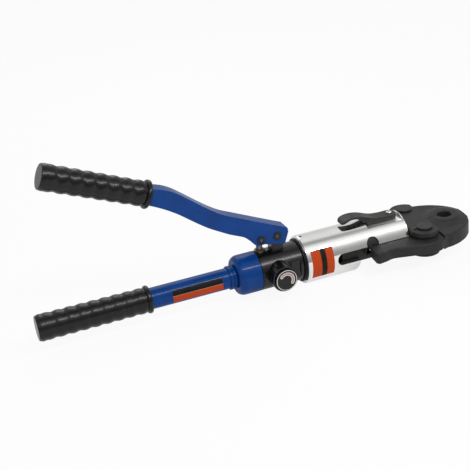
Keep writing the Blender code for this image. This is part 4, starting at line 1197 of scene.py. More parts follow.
def cross_pin(centre: Point, radius: float, cheek: float = 0.0091, head: float = 0.0044) -> Form:
    """Pin across the lever's cheeks: a low domed head with a hollow centre on each side.

    Args:
        centre: middle of the pin.
        radius: its shank.
        cheek: where its heads start, from the middle.
        head: radius of the heads.

    Returns:
        The pin, along Y.
    """
    end, dome = cheek + 0.0012, head - 0.0012
    floor, mouth, core = end - 0.0011, 0.0021, 0.0017
    half = rounded([(0.0, radius), (cheek, radius), (cheek, head, 0.0002),
                    (end - 0.0002, head, 0.0004), (end, dome, 0.0004), (end, mouth, 0.0003),
                    (floor, core, 0.0002), (floor, 0.0)], False, 3)
    other = [(-along, reach) for along, reach in reversed(half[1:])]
    return Form.spun(other + half[1:], ALONG_MINUS_Y, centre, 48)


@dataclass
class ReleaseKnob(Assembly):
    """Release knob with a fluted edge and a dial on its face, printed and with a painted rim glint.

    Attributes:
        dial: how far the dial's underside and its top lie behind the face.
    """

    face: float = 0.0380
    length: float = 0.0110
    flutes: int = 24
    flute_radius: float = 0.0009
    flute_share: float = 0.45
    flute_margin: float = 0.0026
    dial_margin: float = 0.0006
    dial: Span = (0.00018, 0.00002)

    def build(self) -> None:
        """Make the knob and its dial."""
        x, face, radius = self.at.knob, self.face, self.at.knob_radius
        start, front = face - self.length, face - 0.0002
        knob = Form.spun(rounded([(start, 0.0), (start, radius, 0.0004),
                                  (front, radius, 0.0005), (front, 0.0)], False, 3),
                         ALONG_MINUS_Y, (x, 0.0, 0.0), 96)
        knob.minus(self.flute_cutters(x, -(start + face) / 2))
        self.bench.fit(knob, "knob", Body.KNOB, "blackened_steel", self.palette.blacked,
                       ["release_knob"])
        under, top = self.dial
        dial = Form.across(face - under, face - top, radius - self.dial_margin, x, 0.0,
                           0.00005, 96)
        self.bench.fit(dial, "knob_dial", Body.KNOB, "blackened_steel", self.palette.dial)
        self.bench.keep(self.palette.ground, "release_spindle")

    def flute_cutters(self, x: float, y: float) -> Form:
        """Round bars along the knob's edge."""
        cutters, turn = Form(), Matrix.Rotation(math.radians(90.0), 4, "X")
        reach = self.at.knob_radius + self.flute_radius * self.flute_share
        for index in range(self.flutes):
            angle = math.tau * index / self.flutes
            place = Matrix.Translation((x + reach * math.cos(angle), y, reach * math.sin(angle)))
            bmesh.ops.create_cone(cutters.bm, cap_ends=True, segments=12,
                                  radius1=self.flute_radius, radius2=self.flute_radius,
                                  depth=self.length - self.flute_margin, matrix=place @ turn)
        return cutters


@dataclass
class PumpLever(Assembly):
    """Folded steel pump lever with the pin that drives the plunger.

    Curves are offsets in X and Z from the pivot pin, with a rounding as third value or none.

    Attributes:
        mouth: lower edge of the channel's hollow.
        tang: length, half width and half height of the bar inside the grip.
        eye: outer and inner radius of the plunger's eye.
    """

    half_width: float = 0.0088
    wall: float = 0.0027
    fold: float = 0.0022
    tail_half: float = 0.0086
    top: tuple[Span, ...] = (
        (-0.1141, 0.0793), (-0.1044, 0.0742), (-0.0948, 0.0670), (-0.0851, 0.0592),
        (-0.0753, 0.0513), (-0.0653, 0.0439), (-0.0551, 0.0374), (-0.0393, 0.0301),
        (-0.0233, 0.0227), (-0.0071, 0.0153), (0.0030, 0.0107))
    nose: tuple[Point, ...] = (
        (0.0124, 0.0066, 0.0015), (0.0130, 0.0020, 0.004), (0.0082, -0.0108, 0.0012),
        (-0.0070, -0.0078, 0.003), (-0.0150, -0.0058, 0.003), (-0.0215, -0.0064, 0.003),
        (-0.0258, -0.0037, 0.002))
    under: tuple[Span, ...] = (
        (-0.0308, 0.0024), (-0.0360, 0.0073), (-0.0413, 0.0101), (-0.0519, 0.0149),
        (-0.0623, 0.0208), (-0.0726, 0.0269), (-0.0826, 0.0340), (-0.0925, 0.0417),
        (-0.1022, 0.0494), (-0.1119, 0.0561), (-0.1217, 0.0619))
    mouth: tuple[Span, ...] = (
        (0.0110, 0.0044), (0.0250, 0.0036), (0.0250, -0.0300), (-0.0500, -0.0300),
        (-0.0700, 0.0050), (-0.1217, 0.0400))
    tang: Point = (0.078, 0.006, 0.007)
    tang_sunk: float = 0.004
    pivot_hole: float = 0.0039
    driver: float = 0.0030
    plunger_radius: float = 0.0034
    plunger_low: float = -0.0020
    eye_half: float = 0.0050
    eye_play: float = 0.0016
    eye: Span = (0.0052, 0.0036)

    def build(self) -> None:
        """Make the lever, its pin and the plunger."""
        at, palette, fit = self.at, self.palette, self.bench.fit
        fit(self.lever_form(), "lever", Body.LEVER, "blue_paint", palette.enamel, ["lever_channel"])
        fit(cross_pin((at.plunger, 0.0, at.lever_pivot[2]), self.driver), "lever_plunger_pin",
            Body.LEVER, "ground_steel", palette.driver, ["plunger_pin"])
        fit(self.plunger_form(), "plunger", Body.PLUNGER, "ground_steel", palette.wire,
            ["pump_plunger"])

    def curves(self) -> tuple[Outline, Outline]:
        """Smoothed top and under curves, joined to the tail."""
        slope = Vector((-math.cos(self.at.tail_slope), 0.0, math.sin(self.at.tail_slope)))
        across = Vector((slope.z, 0.0, -slope.x)) * self.tail_half
        shoulder = Vector(self.at.lever_tail) - Vector(self.at.lever_pivot) - slope * SEAT
        high, low = shoulder + across, shoulder - across
        return (smooth_path([(high.x, high.z), *self.top], 3),
                smooth_path([*self.under, (low.x, low.z)], 3))

    def lever_form(self) -> Form:
        """Outline folded to a channel that is open underneath."""
        x, _, z = self.at.lever_pivot
        top, under = self.curves()
        outline = [(x + u, z + v) for u, v in rounded(top + [*self.nose] + under)]
        lever = Form.extruded(outline, View.SIDE, -self.half_width, self.half_width)
        lever.bevelled(self.fold, 4, 40.0, self.on_fold)
        inner = self.half_width - self.wall
        hollow = [(x + u, z + v - self.wall) for u, v in top[3:]]
        hollow += [(x + u, z + v) for u, v in self.mouth]
        lever.minus(Form.extruded(hollow, View.SIDE, -inner, inner))
        lever.bevelled(0.0004, 2, 50.0)
        length, wide, high = self.tang
        tang = Form.block((-self.tang_sunk, -wide, -high), (length, wide, high)).bevelled(0.0006)
        lever.plus(tang.moved(Matrix.Translation(self.at.lever_tail) @ self.at.on_tail()))
        holes = [Form.across(-THROUGH, THROUGH, radius, along, z, steps=48) for radius, along in (
            (self.pivot_hole, x), (self.driver + SEAT, self.at.plunger))]
        return lever.minus(*holes)

    @staticmethod
    def on_fold(edge: bmesh.types.BMEdge) -> bool:
        """Whether an edge is one of the two long folds on top."""
        if len(edge.link_faces) != 2 or abs(edge.verts[0].co.y - edge.verts[1].co.y) > 1e-6:
            return False
        upward, rearward = 0.25, -0.6
        other = max(edge.link_faces, key=lambda face: abs(face.normal.z) + abs(face.normal.x))
        return other.normal.z > upward and other.normal.x > rearward

    def plunger_form(self) -> Form:
        """Round plunger with a slotted eye."""
        x, z = self.at.plunger, self.at.lever_pivot[2]
        outer, inner = ([point for side, start in ((1, -90.0), (-1, 90.0))
                         for point in arc((x + side * self.eye_play, z), radius, start,
                                          start + 180.0, 16)] for radius in self.eye)
        ram = Form.upright(self.plunger_low, z - self.eye[1], self.plunger_radius, x, 0.0, 0.0004,
                           48)
        eye = Form.extruded(outer, View.SIDE, -self.eye_half, self.eye_half)
        slot = Form.extruded(inner, View.SIDE, -THROUGH, THROUGH)
        return ram.plus(eye).minus(slot).bevelled(0.0003, 2, 50.0)


@dataclass
class Head(Assembly):
    """Polished slotted sleeve, jaw link plates, pins and clips.

    Attributes:
        rear_edge: steps of the sleeve's rear edge: along, below its radius, rounding.
        floor_sweep: length and depth of the curve that ends the sleeve's underside.
        notch: the notch's middle, ahead of the sleeve's rear and above the axis.
        pocket_slope: length and top of the pocket's sloping front wall.
        screw: the lock screw's foot, how far it is sunk, and its radius.
        spacer: half height and radius of the spacer.
        jaw_pin_top: height of a pin head's underside and of its top.
        clip: height of a clip's underside and of its top.
        clip_loop: a clip's loop, behind its pin and towards the axis.
        clip_eye: outer and inner radius of the loop.
    """

    radius: float = 0.0265
    bore: float = 0.0205
    bore_depth: float = 0.0980
    rear_edge: tuple[Point, ...] = ((0.0, 0.0018), (0.0012, 0.0003, 0.0006), (0.0020, 0.0, 0.0006))
    floor_length: float = 0.0630
    floor_sweep: Span = (0.0080, 0.0275)
    slot_start: float = 0.0350
    slot_half: float = 0.0067
    notch: Span = (0.0780, 0.0087)
    notch_radius: float = 0.0072
    rib_pitch: float = 0.0015
    rib_groove: float = 0.00035
    rib_reach: float = 0.0245
    pocket_floor: float = 0.0223
    pocket_rear: float = 0.3650
    pocket_slope: Span = (0.0021, 0.0264)
    pin_hole: float = 0.0048
    screw_ahead: float = 0.0045
    screw_hole: float = 0.0017
    screw: Triple = (0.0191, 0.0022, 0.0012)
    plate_inner: float = 0.0083
    plate_outer: float = 0.0140
    tongue_half: float = 0.0170
    tongue_back: float = 0.0075
    mouth_half: float = 0.0186
    lobe_radius: float = 0.0164
    plate_front: float = 0.0125
    spacer: Span = (0.0080, 0.0070)
    jaw_pin_head: float = 0.0087
    jaw_pin_foot: float = 0.0018
    jaw_pin_top: Span = (0.0152, 0.0165)
    jaw_pin_dome: float = 0.0022
    clip: Span = (0.0143, 0.0149)
    clip_width: float = 0.0022
    clip_loop: Span = (0.0098, 0.0006)
    clip_eye: Span = (0.0027, 0.0014)
    film: Span = (0.2925, 0.3180)
    film_angles: Span = (-32.0, 39.0)

    def build(self) -> None:
        """Make the pieces."""
        at, palette, fit = self.at, self.palette, self.bench.fit
        fit(self.sleeve_form(), "sleeve", Body.HEAD, "polished_steel", palette.polished,
            ["head_sleeve"], 26.0)
        low, sunk, radius = self.screw
        screw = Form.upright(low, self.radius - sunk, radius, at.head + self.screw_ahead, 0.0,
                             0.0002, 24)
        fit(screw, "sleeve_lock_screw", Body.HEAD, "blackened_steel", palette.blacked,
            ["head_lock_screw"])
        fit(self.insert_form(), "notch_insert_front", Body.HEAD, "cast_steel", palette.cast)
        fit(self.insert_form().mirrored(), "notch_insert_rear", Body.HEAD, "cast_steel",
            palette.cast)
        fit(Form.film(self.film, self.radius, self.film_angles, 180), "sleeve_film", Body.HEAD,
            "polished_steel", palette.head_film)
        for name, node, low, high in (
                ("link_plate_top", "upper_link_plate", self.plate_inner, self.plate_outer),
                ("link_plate_under", "lower_link_plate", -self.plate_outer, -self.plate_inner)):
            fit(self.plate_form(low, high).moved(at.on_set()), name, Body.JAW_SET,
                "blackened_steel", palette.plate, [node])
        half, radius = self.spacer
        spacer = Form.ring(-half, half, self.pin_hole, radius, ALONG_Z, (at.pin, 0.0, 0.0))
        fit(spacer, "spacer", Body.JAW_SET, "ground_steel", palette.ground, ["link_spacer"])
        for side, label in ((-1, "front"), (1, "rear")):
            fit(self.pin_form(side).moved(at.on_set()), f"pivot_pin_{label}", Body.JAW_SET,
                "blackened_steel", palette.latch, [f"jaw_pin_{label}"])
            fit(self.clip_form(side).moved(at.on_set()), f"clip_{label}", Body.JAW_SET,
                "spring_steel", palette.blacked, [f"pin_clip_{label}"])

    def sleeve_form(self) -> Form:
        """Turned barrel, bored and cut through from both sides."""
        at, head, front = self.at, self.at.head, self.at.sleeve_front
        out = front + 0.001
        edge = [(head + along, self.radius - down, *rest) for along, down, *rest in self.rear_edge]
        sleeve = Form.spun(rounded([(head, 0.0), *edge, (front, self.radius, 0.0007), (front, 0.0)],
                                   False), steps=144)
        bore = Form.rod(head - 0.001, head + self.bore_depth, self.bore, steps=144)
        side = self.mouth_half
        mouth = Form.block((head + self.bore_depth - 0.002, -side, -THROUGH),
                           (out, side, self.plate_outer + 2 * SEAT))
        slot_rear = arc((head + self.slot_start + self.slot_half, 0.0), self.slot_half, 90.0,
                        270.0, 24)
        slot = [*slot_rear, (out, -self.slot_half), (out, self.slot_half)]
        floor, (sweep, low) = head + self.floor_length, self.floor_sweep
        below = [(floor - sweep * (1 - math.cos(a)), -low * math.sin(a))
                 for a in (math.radians(90.0 * step / 20) for step in range(21))]
        below += [(out, -low), (out, 0.0)]
        pocket_end, (slope, top) = at.pin + at.latch_half + SEAT, self.pocket_slope
        pocket = rounded([
            (pocket_end, self.pocket_floor, 0.0016), (pocket_end + slope, top),
            (pocket_end + slope, THROUGH), (self.pocket_rear, THROUGH),
            (self.pocket_rear, self.pocket_floor)], segments=6)
        slot_cut, floor_cut, pocket_cut = (Form.extruded(outline, View.SIDE, -THROUGH, THROUGH)
                                           for outline in (slot, below, pocket))
        notch = Form.across(-THROUGH, THROUGH, self.notch_radius, head + self.notch[0],
                            self.notch[1])
        pin_hole = Form.upright(0.0, THROUGH, self.pin_hole, at.pin, steps=48)
        screw_hole = Form.upright(0.0, THROUGH, self.screw_hole, head + self.screw_ahead, steps=24)
        sleeve.minus(bore, mouth, slot_cut, floor_cut, pocket_cut, notch, pin_hole, screw_hole)
        return sleeve.bevelled(0.0003, 2, 40.0)

    def insert_form(self) -> Form:
        """Ribbed round part that shows in the notch above the slot."""
        x, z = self.at.head + self.notch[0], self.notch[1]
        insert = Form.across(0.0150, THROUGH, self.notch_radius - SEAT, x, z)
        insert.common(Form.ring(x - 0.01, x + 0.01, self.bore + 0.0002, self.radius - 0.0011,
                                edge=0.0, steps=144))
        groove = self.rib_groove
        grooves = [Form.block((middle - groove, -THROUGH, 0.0),
                              (middle + groove, -self.rib_reach, THROUGH))
                   for middle in (x + step * self.rib_pitch for step in range(-4, 5))]
        below = Form.block((x - 0.02, -THROUGH, -THROUGH), (x + 0.02, 0.0, self.slot_half + 0.0002))
        return insert.minus(below, *grooves)

    def plate_form(self, low: float, high: float) -> Form:
        """Link plate: tongue into the sleeve, round lobes about the pivots, straight front."""
        at, hole = self.at, self.at.jaw_pin + SEAT
        front, rear = at.jaw_pivot + self.plate_front, at.pin - self.tongue_back
        tilt = math.degrees(math.acos(self.plate_front / self.lobe_radius))
        lobe = arc((at.jaw_pivot, at.pivot_offset), self.lobe_radius, tilt, 205.0, 40)
        half = [(front, 0.0), *lobe, (at.sleeve_front + 0.0012, self.tongue_half, 0.0006),
                (rear, self.tongue_half, 0.0050)]
        other = [(x, -y, *rest) for x, y, *rest in reversed(half[1:])]
        plate = Form.extruded(rounded(half + other), View.PLAN, low, high).bevelled(0.0007, 3, 40.0)
        holes = [Form.upright(-THROUGH, THROUGH, radius, x, y) for radius, x, y in (
            (hole, at.jaw_pivot, -at.pivot_offset), (hole, at.jaw_pivot, at.pivot_offset),
            (self.pin_hole, at.pin, 0.0))]
        return plate.minus(*holes)

    def pin_form(self, side: int) -> Form:
        """Jaw pin with a low domed head and a chamfered foot."""
        foot, (base, top) = -self.plate_outer - self.jaw_pin_foot, self.jaw_pin_top
        head, shank = self.jaw_pin_head, self.at.jaw_pin
        profile = rounded([
            (foot, 0.0), (foot, shank, 0.0006), (base, shank), (base, head, 0.0003),
            (top - 0.0002, head, 0.0006), (top, head - self.jaw_pin_dome, 0.0006),
            (top - 0.0002, 0.0)], False)
        centre = (self.at.jaw_pivot, side * self.at.pivot_offset, 0.0)
        return Form.spun(profile, ALONG_Z, centre, 80)

    def clip_form(self, side: int) -> Form:
        """Flat spring clip under the pin head, with a loop beside it."""
        at = self.at
        x, y, hole = at.jaw_pivot, side * at.pivot_offset, at.jaw_pin + SEAT
        (low, high), (outer, inner) = self.clip, self.clip_eye
        loop_x, loop_y = x - self.clip_loop[0], y - side * self.clip_loop[1]
        clip = Form.upright(low, high, hole + self.clip_width, x, y, 0.0001)
        clip.plus(Form.upright(low, high, outer, loop_x, loop_y, 0.0001, 32))
        return clip.minus(Form.upright(0.01, 0.02, hole, x, y),
                          Form.upright(0.01, 0.02, inner, loop_x, loop_y, steps=32))


@dataclass
class Jaws(Assembly):
    """Pair of forged jaws: thick round head, boss about the pin, curved tail.

    Attributes:
        plateau_edge: how far the plateau's edge reaches inside and outside its radius.
        plateau_drop: share of the head's slope that lies in that edge.
        bore_flare: end of the bore's cutter, its half height and its radius.
        grid: spacing of the cut lines that let the jaw be sculpted.
        grid_rear: how far behind the pivots they start.
        land_out: how far from the axis the tails' inner faces end.
    """

    parting: float = 0.00015
    arm_half: float = 0.0060
    boss_half: float = 0.0080
    boss_radius: float = 0.0146
    head_half: float = 0.0120
    edge_half: float = 0.0084
    half_width: float = 0.0516
    plateau: float = 0.0165
    plateau_edge: Span = (0.0006, 0.0010)
    plateau_drop: float = 0.25
    slope_end: float = 0.0270
    shoulder: float = 0.0150
    shoulder_half: float = 0.0003
    bore_ahead: float = 0.0365
    bore_radius: float = 0.0080
    bore_chamfer: float = 0.0010
    bore_flare: Span = (0.02, 0.017)
    outer_round: float = 0.0018
    inner_round: float = 0.0005
    grid: float = 0.0013
    grid_rear: float = 0.056
    roller_travel: float = 0.0200
    roller_play: float = 0.0006
    land_out: float = 0.0218

    def build(self) -> None:
        """Make both jaws."""
        for label, body in (("front", Body.JAW_FRONT), ("rear", Body.JAW_REAR)):
            jaw = self.jaw_form()
            if label == "front":
                jaw.mirrored()
            self.bench.fit(jaw.moved(self.at.on_set()), f"press_jaw_{label}", body,
                           "blackened_steel", self.palette.forged, [f"jaw_{label}"], 38.0)

    def outline(self) -> tuple[Outline, Outline]:
        """Outer and inner edge of the rear jaw in plan, offsets along X from the pivots."""
        at, wide, reach = self.at, self.half_width, self.land_out
        lobe, tip = at.pivot_offset, at.tip - at.jaw_pivot
        tail = at.roller + at.roller_radius + self.roller_play - at.jaw_pivot
        land = at.roller + self.roller_travel + at.roller_radius - at.jaw_pivot
        outer = [(tail * along, wide * out) for along, out in (
            (0.965, 0.976), (0.820, 0.928), (0.686, 0.876), (0.439, 0.930), (0.208, 0.985),
            (0.0, 1.0))]
        outer += [(tip * along, wide * out) for along, out in (
            (0.153, 0.966), (0.246, 0.886), (0.338, 0.833), (0.439, 0.812), (0.625, 0.727),
            (0.785, 0.601), (0.862, 0.514), (0.948, 0.388), (0.990, 0.258))]
        front = [(tip, 0.225 * wide), (tip, self.parting)]
        inner = smooth_path([
            (0.0070, self.parting), (0.0055, 0.170 * lobe), (0.031 * tail, 0.360 * lobe),
            (0.231 * tail, 0.485 * lobe), (0.462 * tail, 0.625 * lobe), (land, reach)], 5)
        cam = smooth_path([
            (land - 0.0100, reach), (tail + 0.0045, reach + 0.0014),
            (tail + 0.0008, reach + 0.0050), (tail, reach + 0.0090)], 5)
        end = rounded([cam[-1], (tail - 0.0006, 0.915 * wide, 0.0010),
                       (tail, 0.952 * wide, 0.0008), outer[0]], False)[1:-1]
        return end + smooth_path(outer, 5), front + inner + cam

    def height(self, ahead: float, out: float) -> float:
        """Half height of the jaw before its edges are rounded.

        Args:
            ahead: distance in front of the pivots.
            out: distance from the parting line.

        Returns:
            The half height.
        """
        reach, (before, after) = math.hypot(ahead - self.bore_ahead, out), self.plateau_edge
        run = (reach - self.plateau) / (self.slope_end - self.plateau)
        edge = ease(reach, self.plateau - before, self.plateau + after)
        slope = (self.plateau_drop * edge
                 + (1.0 - self.plateau_drop) * min(1.0, max(0.0, run)))
        head = self.head_half + (self.edge_half - self.head_half) * slope
        step = ease(ahead, self.shoulder - self.shoulder_half, self.shoulder + self.shoulder_half)
        return self.arm_half + (max(head, self.arm_half) - self.arm_half) * step

    def jaw_form(self) -> Form:
        """Plan outline with rounded edges and a sculpted top and underside."""
        x, y, half, radius = (self.at.jaw_pivot, self.at.pivot_offset, self.head_half,
                              self.bore_radius)
        outline = [(x + u, v) for part in self.outline() for u, v in part]
        jaw = Form.extruded(outline, View.PLAN, -half, half)
        for width in (0.0003, 0.0004, 0.0005, 0.0006, 0.0007):
            caps = [face for face in jaw.bm.faces if len(face.verts) > 30]
            bmesh.ops.inset_region(jaw.bm, faces=caps, thickness=width, use_even_offset=True)
            rims = [vert for face in caps for vert in face.verts]
            bmesh.ops.remove_doubles(jaw.bm, verts=rims, dist=0.0003)
        jaw.scored(0, *(x + self.shoulder + side * self.shoulder_half for side in (-1, 1)))
        jaw.sliced(0, x - self.grid_rear, self.at.tip, self.grid)
        jaw.sliced(1, self.parting, self.half_width, self.grid)
        self.sculpt(jaw)
        wide, inside, (end, flare) = radius + self.bore_chamfer, half - 0.001, self.bore_flare
        bore = rounded([
            (-end, 0.0), (-end, flare), (-half, wide), (-inside, radius), (inside, radius),
            (half, wide), (end, flare), (end, 0.0)], False)
        boss = Form.upright(-self.boss_half, self.boss_half, self.boss_radius, x, y, 0.0005, 96)
        hole = Form.upright(-THROUGH, THROUGH, self.at.jaw_pin + SEAT, x, y)
        bore_cut = Form.spun(bore, ALONG_Z, (x + self.bore_ahead, 0.0, 0.0), 96)
        return jaw.plus(boss).minus(bore_cut, hole)

    def sculpt(self, jaw: Form) -> None:
        """Move the top and bottom to their heights, rounding towards the outline."""
        x, spacing = self.at.jaw_pivot, 0.0002
        loop = [(Vector((x + u, v, 0.0)), radius)
                for part, radius in zip(self.outline(), (self.outer_round, self.inner_round))
                for u, v in part]
        samples = []
        for (start, radius), (end, _) in zip(loop, loop[1:] + loop[:1]):
            count = max(1, int((end - start).length / spacing))
            samples += [(start.lerp(end, step / count), radius) for step in range(count)]
        tree = kdtree.KDTree(len(samples))
        for index, (place, _) in enumerate(samples):
            tree.insert(place, index)
        tree.balance()
        for vert in jaw.bm.verts:
            _, index, gap = tree.find(Vector((vert.co.x, vert.co.y, 0.0)))
            radius = samples[index][1]
            short = max(0.0, radius - gap)
            drop = radius - math.sqrt(max(0.0, radius * radius - short * short))
            level = self.height(vert.co.x - x, vert.co.y) - drop
            vert.co.z = math.copysign(level, vert.co.z)


@dataclass
class Latch(Assembly):
    """Retaining pin, its screw and the finger lever on top.

    Attributes:
        tail: end of the lever's tab behind the pin.
        heel: rear end of its foot behind the pin.
        top: upper curve of the tab, offsets in X from the pin, and heights.
        under: lower curve of the tab, in the same way.
        thread: floor and radius of the screw's hole.
    """

    low: float = 0.0226
    high: float = 0.0277
    tail: float = -0.0606
    tail_round: float = 0.0045
    heel: float = -0.0298
    top: tuple[Span, ...] = (
        (-0.0100, 0.0277), (-0.0190, 0.0286), (-0.0250, 0.0302), (-0.0310, 0.0325),
        (-0.0370, 0.0344), (-0.0450, 0.0357), (-0.0520, 0.0354), (-0.0575, 0.0337),
        (-0.0606, 0.0312))
    under: tuple[Span, ...] = (
        (-0.0603, 0.0299), (-0.0585, 0.0303), (-0.0540, 0.0321), (-0.0490, 0.0335),
        (-0.0430, 0.0330), (-0.0395, 0.0311), (-0.0360, 0.0289), (-0.0330, 0.0275),
        (-0.0305, 0.0267))
    pin_low: float = -0.0160
    pin_radius: float = 0.0045
    thread: Span = (0.0100, 0.0020)
    screw_low: float = 0.0103
    screw_radius: float = 0.0017
    screw_head: float = 0.0033
    screw_slot: float = 0.00035

    def build(self) -> None:
        """Make the pieces."""
        x, palette, fit = self.at.pin, self.palette, self.bench.fit
        pin = Form.upright(self.pin_low, self.low - SEAT, self.pin_radius, x, 0.0, 0.0006)
        depth, radius = self.thread
        pin.minus(Form.upright(depth, THROUGH, radius, x, steps=32))
        fit(pin, "jaw_set_pin", Body.PIN, "ground_steel", palette.ground, ["retaining_pin"])
        fit(self.screw_form(), "latch_top_screw", Body.PIN, "bright_steel", palette.bright,
            ["latch_screw"])
        fit(self.lever_form(), "latch", Body.LATCH, "blackened_steel", palette.latch,
            ["latch_lever"])

    def screw_form(self) -> Form:
        """Slotted screw with a domed head."""
        x, low, base, half = self.at.pin, self.screw_low, self.high + SEAT, self.screw_slot
        shank, head, top = self.screw_radius, self.screw_head, base + 0.0014
        screw = Form.spun(rounded([
            (low, 0.0), (low, shank, 0.0002), (base, shank), (base, head, 0.0002),
            (base + 0.0012, head, 0.0007), (top, 0.0020, 0.0006), (top, 0.0)], False),
            ALONG_Z, (x, 0.0, 0.0), 48)
        return screw.minus(Form.block((x - 0.005, -half, base + 0.0007),
                                      (x + 0.005, half, base + 0.01)))

    def lever_form(self) -> Form:
        """Finger lever: flat foot in the pocket, curved tab above the sleeve."""
        x, half = self.at.pin, self.at.latch_half
        front = x + half
        curve = [(x + u, v) for part in (self.top, self.under) for u, v in smooth_path(part, 5)]
        outline = rounded([(front, self.low), (front, self.high, 0.0008), *curve,
                           (x + self.heel, self.low)])
        lever = Form.extruded(outline, View.SIDE, -half, half)
        radius = self.tail_round
        corner, side = x + self.tail + radius, half - radius
        plan = arc((x, 0.0), half, -90.0, 90.0, 32)
        plan += arc((corner, side), radius, 90.0, 180.0, 10)
        plan += arc((corner, -side), radius, 180.0, 270.0, 10)
        lever.common(Form.extruded(plan, View.PLAN, 0.0, OUT))
        lever.bevelled(0.0009, 3, 40.0)
        return lever.minus(Form.upright(0.0, OUT, self.thread[1], x, steps=32))


@dataclass
class Ram(Assembly):
    """Ram rod, forked carriage, roller pins and rollers."""

    rear: float = 0.3300
    front: float = 0.3690
    radius: float = 0.0200
    half_height: float = 0.0125
    roller_y: float = 0.0115
    roller_half: float = 0.0060
    pin_radius: float = 0.0030
    nose_length: float = 0.0070
    nose_half: float = 0.0176
    socket_radius: float = 0.0083
    socket_depth: float = 0.0070
    block_half: float = 0.0078
    block_ahead: float = 0.0016
    block_play: float = 0.0006

    def build(self) -> None:
        """Make the pieces."""
        palette, fit = self.palette, self.bench.fit
        fit(self.carriage_form(), "carriage", Body.RAM, "cast_steel", palette.cast,
            ["ram_carriage"])
        x, half, reach = self.at.roller, self.roller_half, self.half_height - SEAT
        for side, label, body in ((-1, "front", Body.ROLLER_FRONT), (1, "rear", Body.ROLLER_REAR)):
            y = side * self.roller_y
            roller = Form.ring(-half, half, self.pin_radius + SEAT, self.at.roller_radius,
                               ALONG_Z, (x, y, 0.0), 0.0005)
            # The ground steel rollers take the carriage's dark cast finish: painted shade for the
            # slot they sit in.
            fit(roller, f"cam_roller_{label}", body, "ground_steel", palette.cast,
                [f"roller_{label}"])
            fit(Form.upright(-reach, reach, self.pin_radius, x, y, 0.0004, 40),
                f"cam_roller_pin_{label}", Body.RAM, "ground_steel", palette.ground,
                [f"roller_pin_{label}"])
        self.bench.keep(palette.ground, "ram_piston")
        self.bench.keep(palette.seal, "piston_seal")

    def carriage_form(self) -> Form:
        """Round carriage with flats, a forked front and a block between the arms."""
        rear, mouth, wide = self.rear - 0.001, self.front + 0.001, THROUGH
        x, y, radius = self.at.roller, self.roller_y, self.at.roller_radius
        gap, fork = radius + SEAT, self.roller_half + SEAT
        carriage = Form.rod(self.rear, self.front, self.radius, edge=0.0008, steps=112)
        carriage.common(Form.block((rear, -wide, -self.half_height),
                                   (mouth, wide, self.half_height)))
        back = arc((x, y), gap, 90.0, 270.0, 20) + arc((x, -y), gap, 90.0, 270.0, 20)
        opening = Form.extruded([(mouth, -wide), (mouth, wide), (x, wide), *back, (x, -wide)],
                                View.PLAN, -fork, fork)
        nose, tall = self.front - self.nose_length, 0.025
        trims = [Form.block((nose, self.nose_half, -tall), (mouth, wide, tall)),
                 Form.block((nose, -wide, -tall), (mouth, -self.nose_half, tall))]
        holes = [Form.upright(-THROUGH, THROUGH, self.pin_radius + SEAT, x, side * y, steps=40)
                 for side in (-1, 1)]
        socket = Form.rod(rear, self.rear + self.socket_depth, self.socket_radius)
        carriage.minus(opening, *trims, *holes, socket)
        half, high = self.block_half, fork + SEAT
        block = Form.block((x + radius + self.block_play, -half, -high),
                           (self.front + self.block_ahead, half, high))
        return carriage.plus(block).bevelled(0.0004, 2, 45.0)


# Studio


@dataclass(frozen=True)
class Lamp:
    """An oblong lamp.

    Attributes:
        name: its name.
        place: where it hangs.
        target: what it faces.
        size: length along X and width.
        power: in watts.
    """

    name: str
    place: Triple
    target: Triple
    size: Span
    power: float

    def hang(self) -> None:
        """Add the lamp to the scene."""
        data = bpy.data.lights.new(self.name, "AREA")
        data.shape, data.energy = "RECTANGLE", self.power
        data.size, data.size_y = self.size
        lamp = bpy.data.objects.new(self.name, data)
        bpy.context.collection.objects.link(lamp)
        turn = (Vector(self.place) - Vector(self.target)).to_track_quat("Z", "Y")
        lamp.matrix_world = Matrix.Translation(self.place) @ turn.to_matrix().to_4x4()


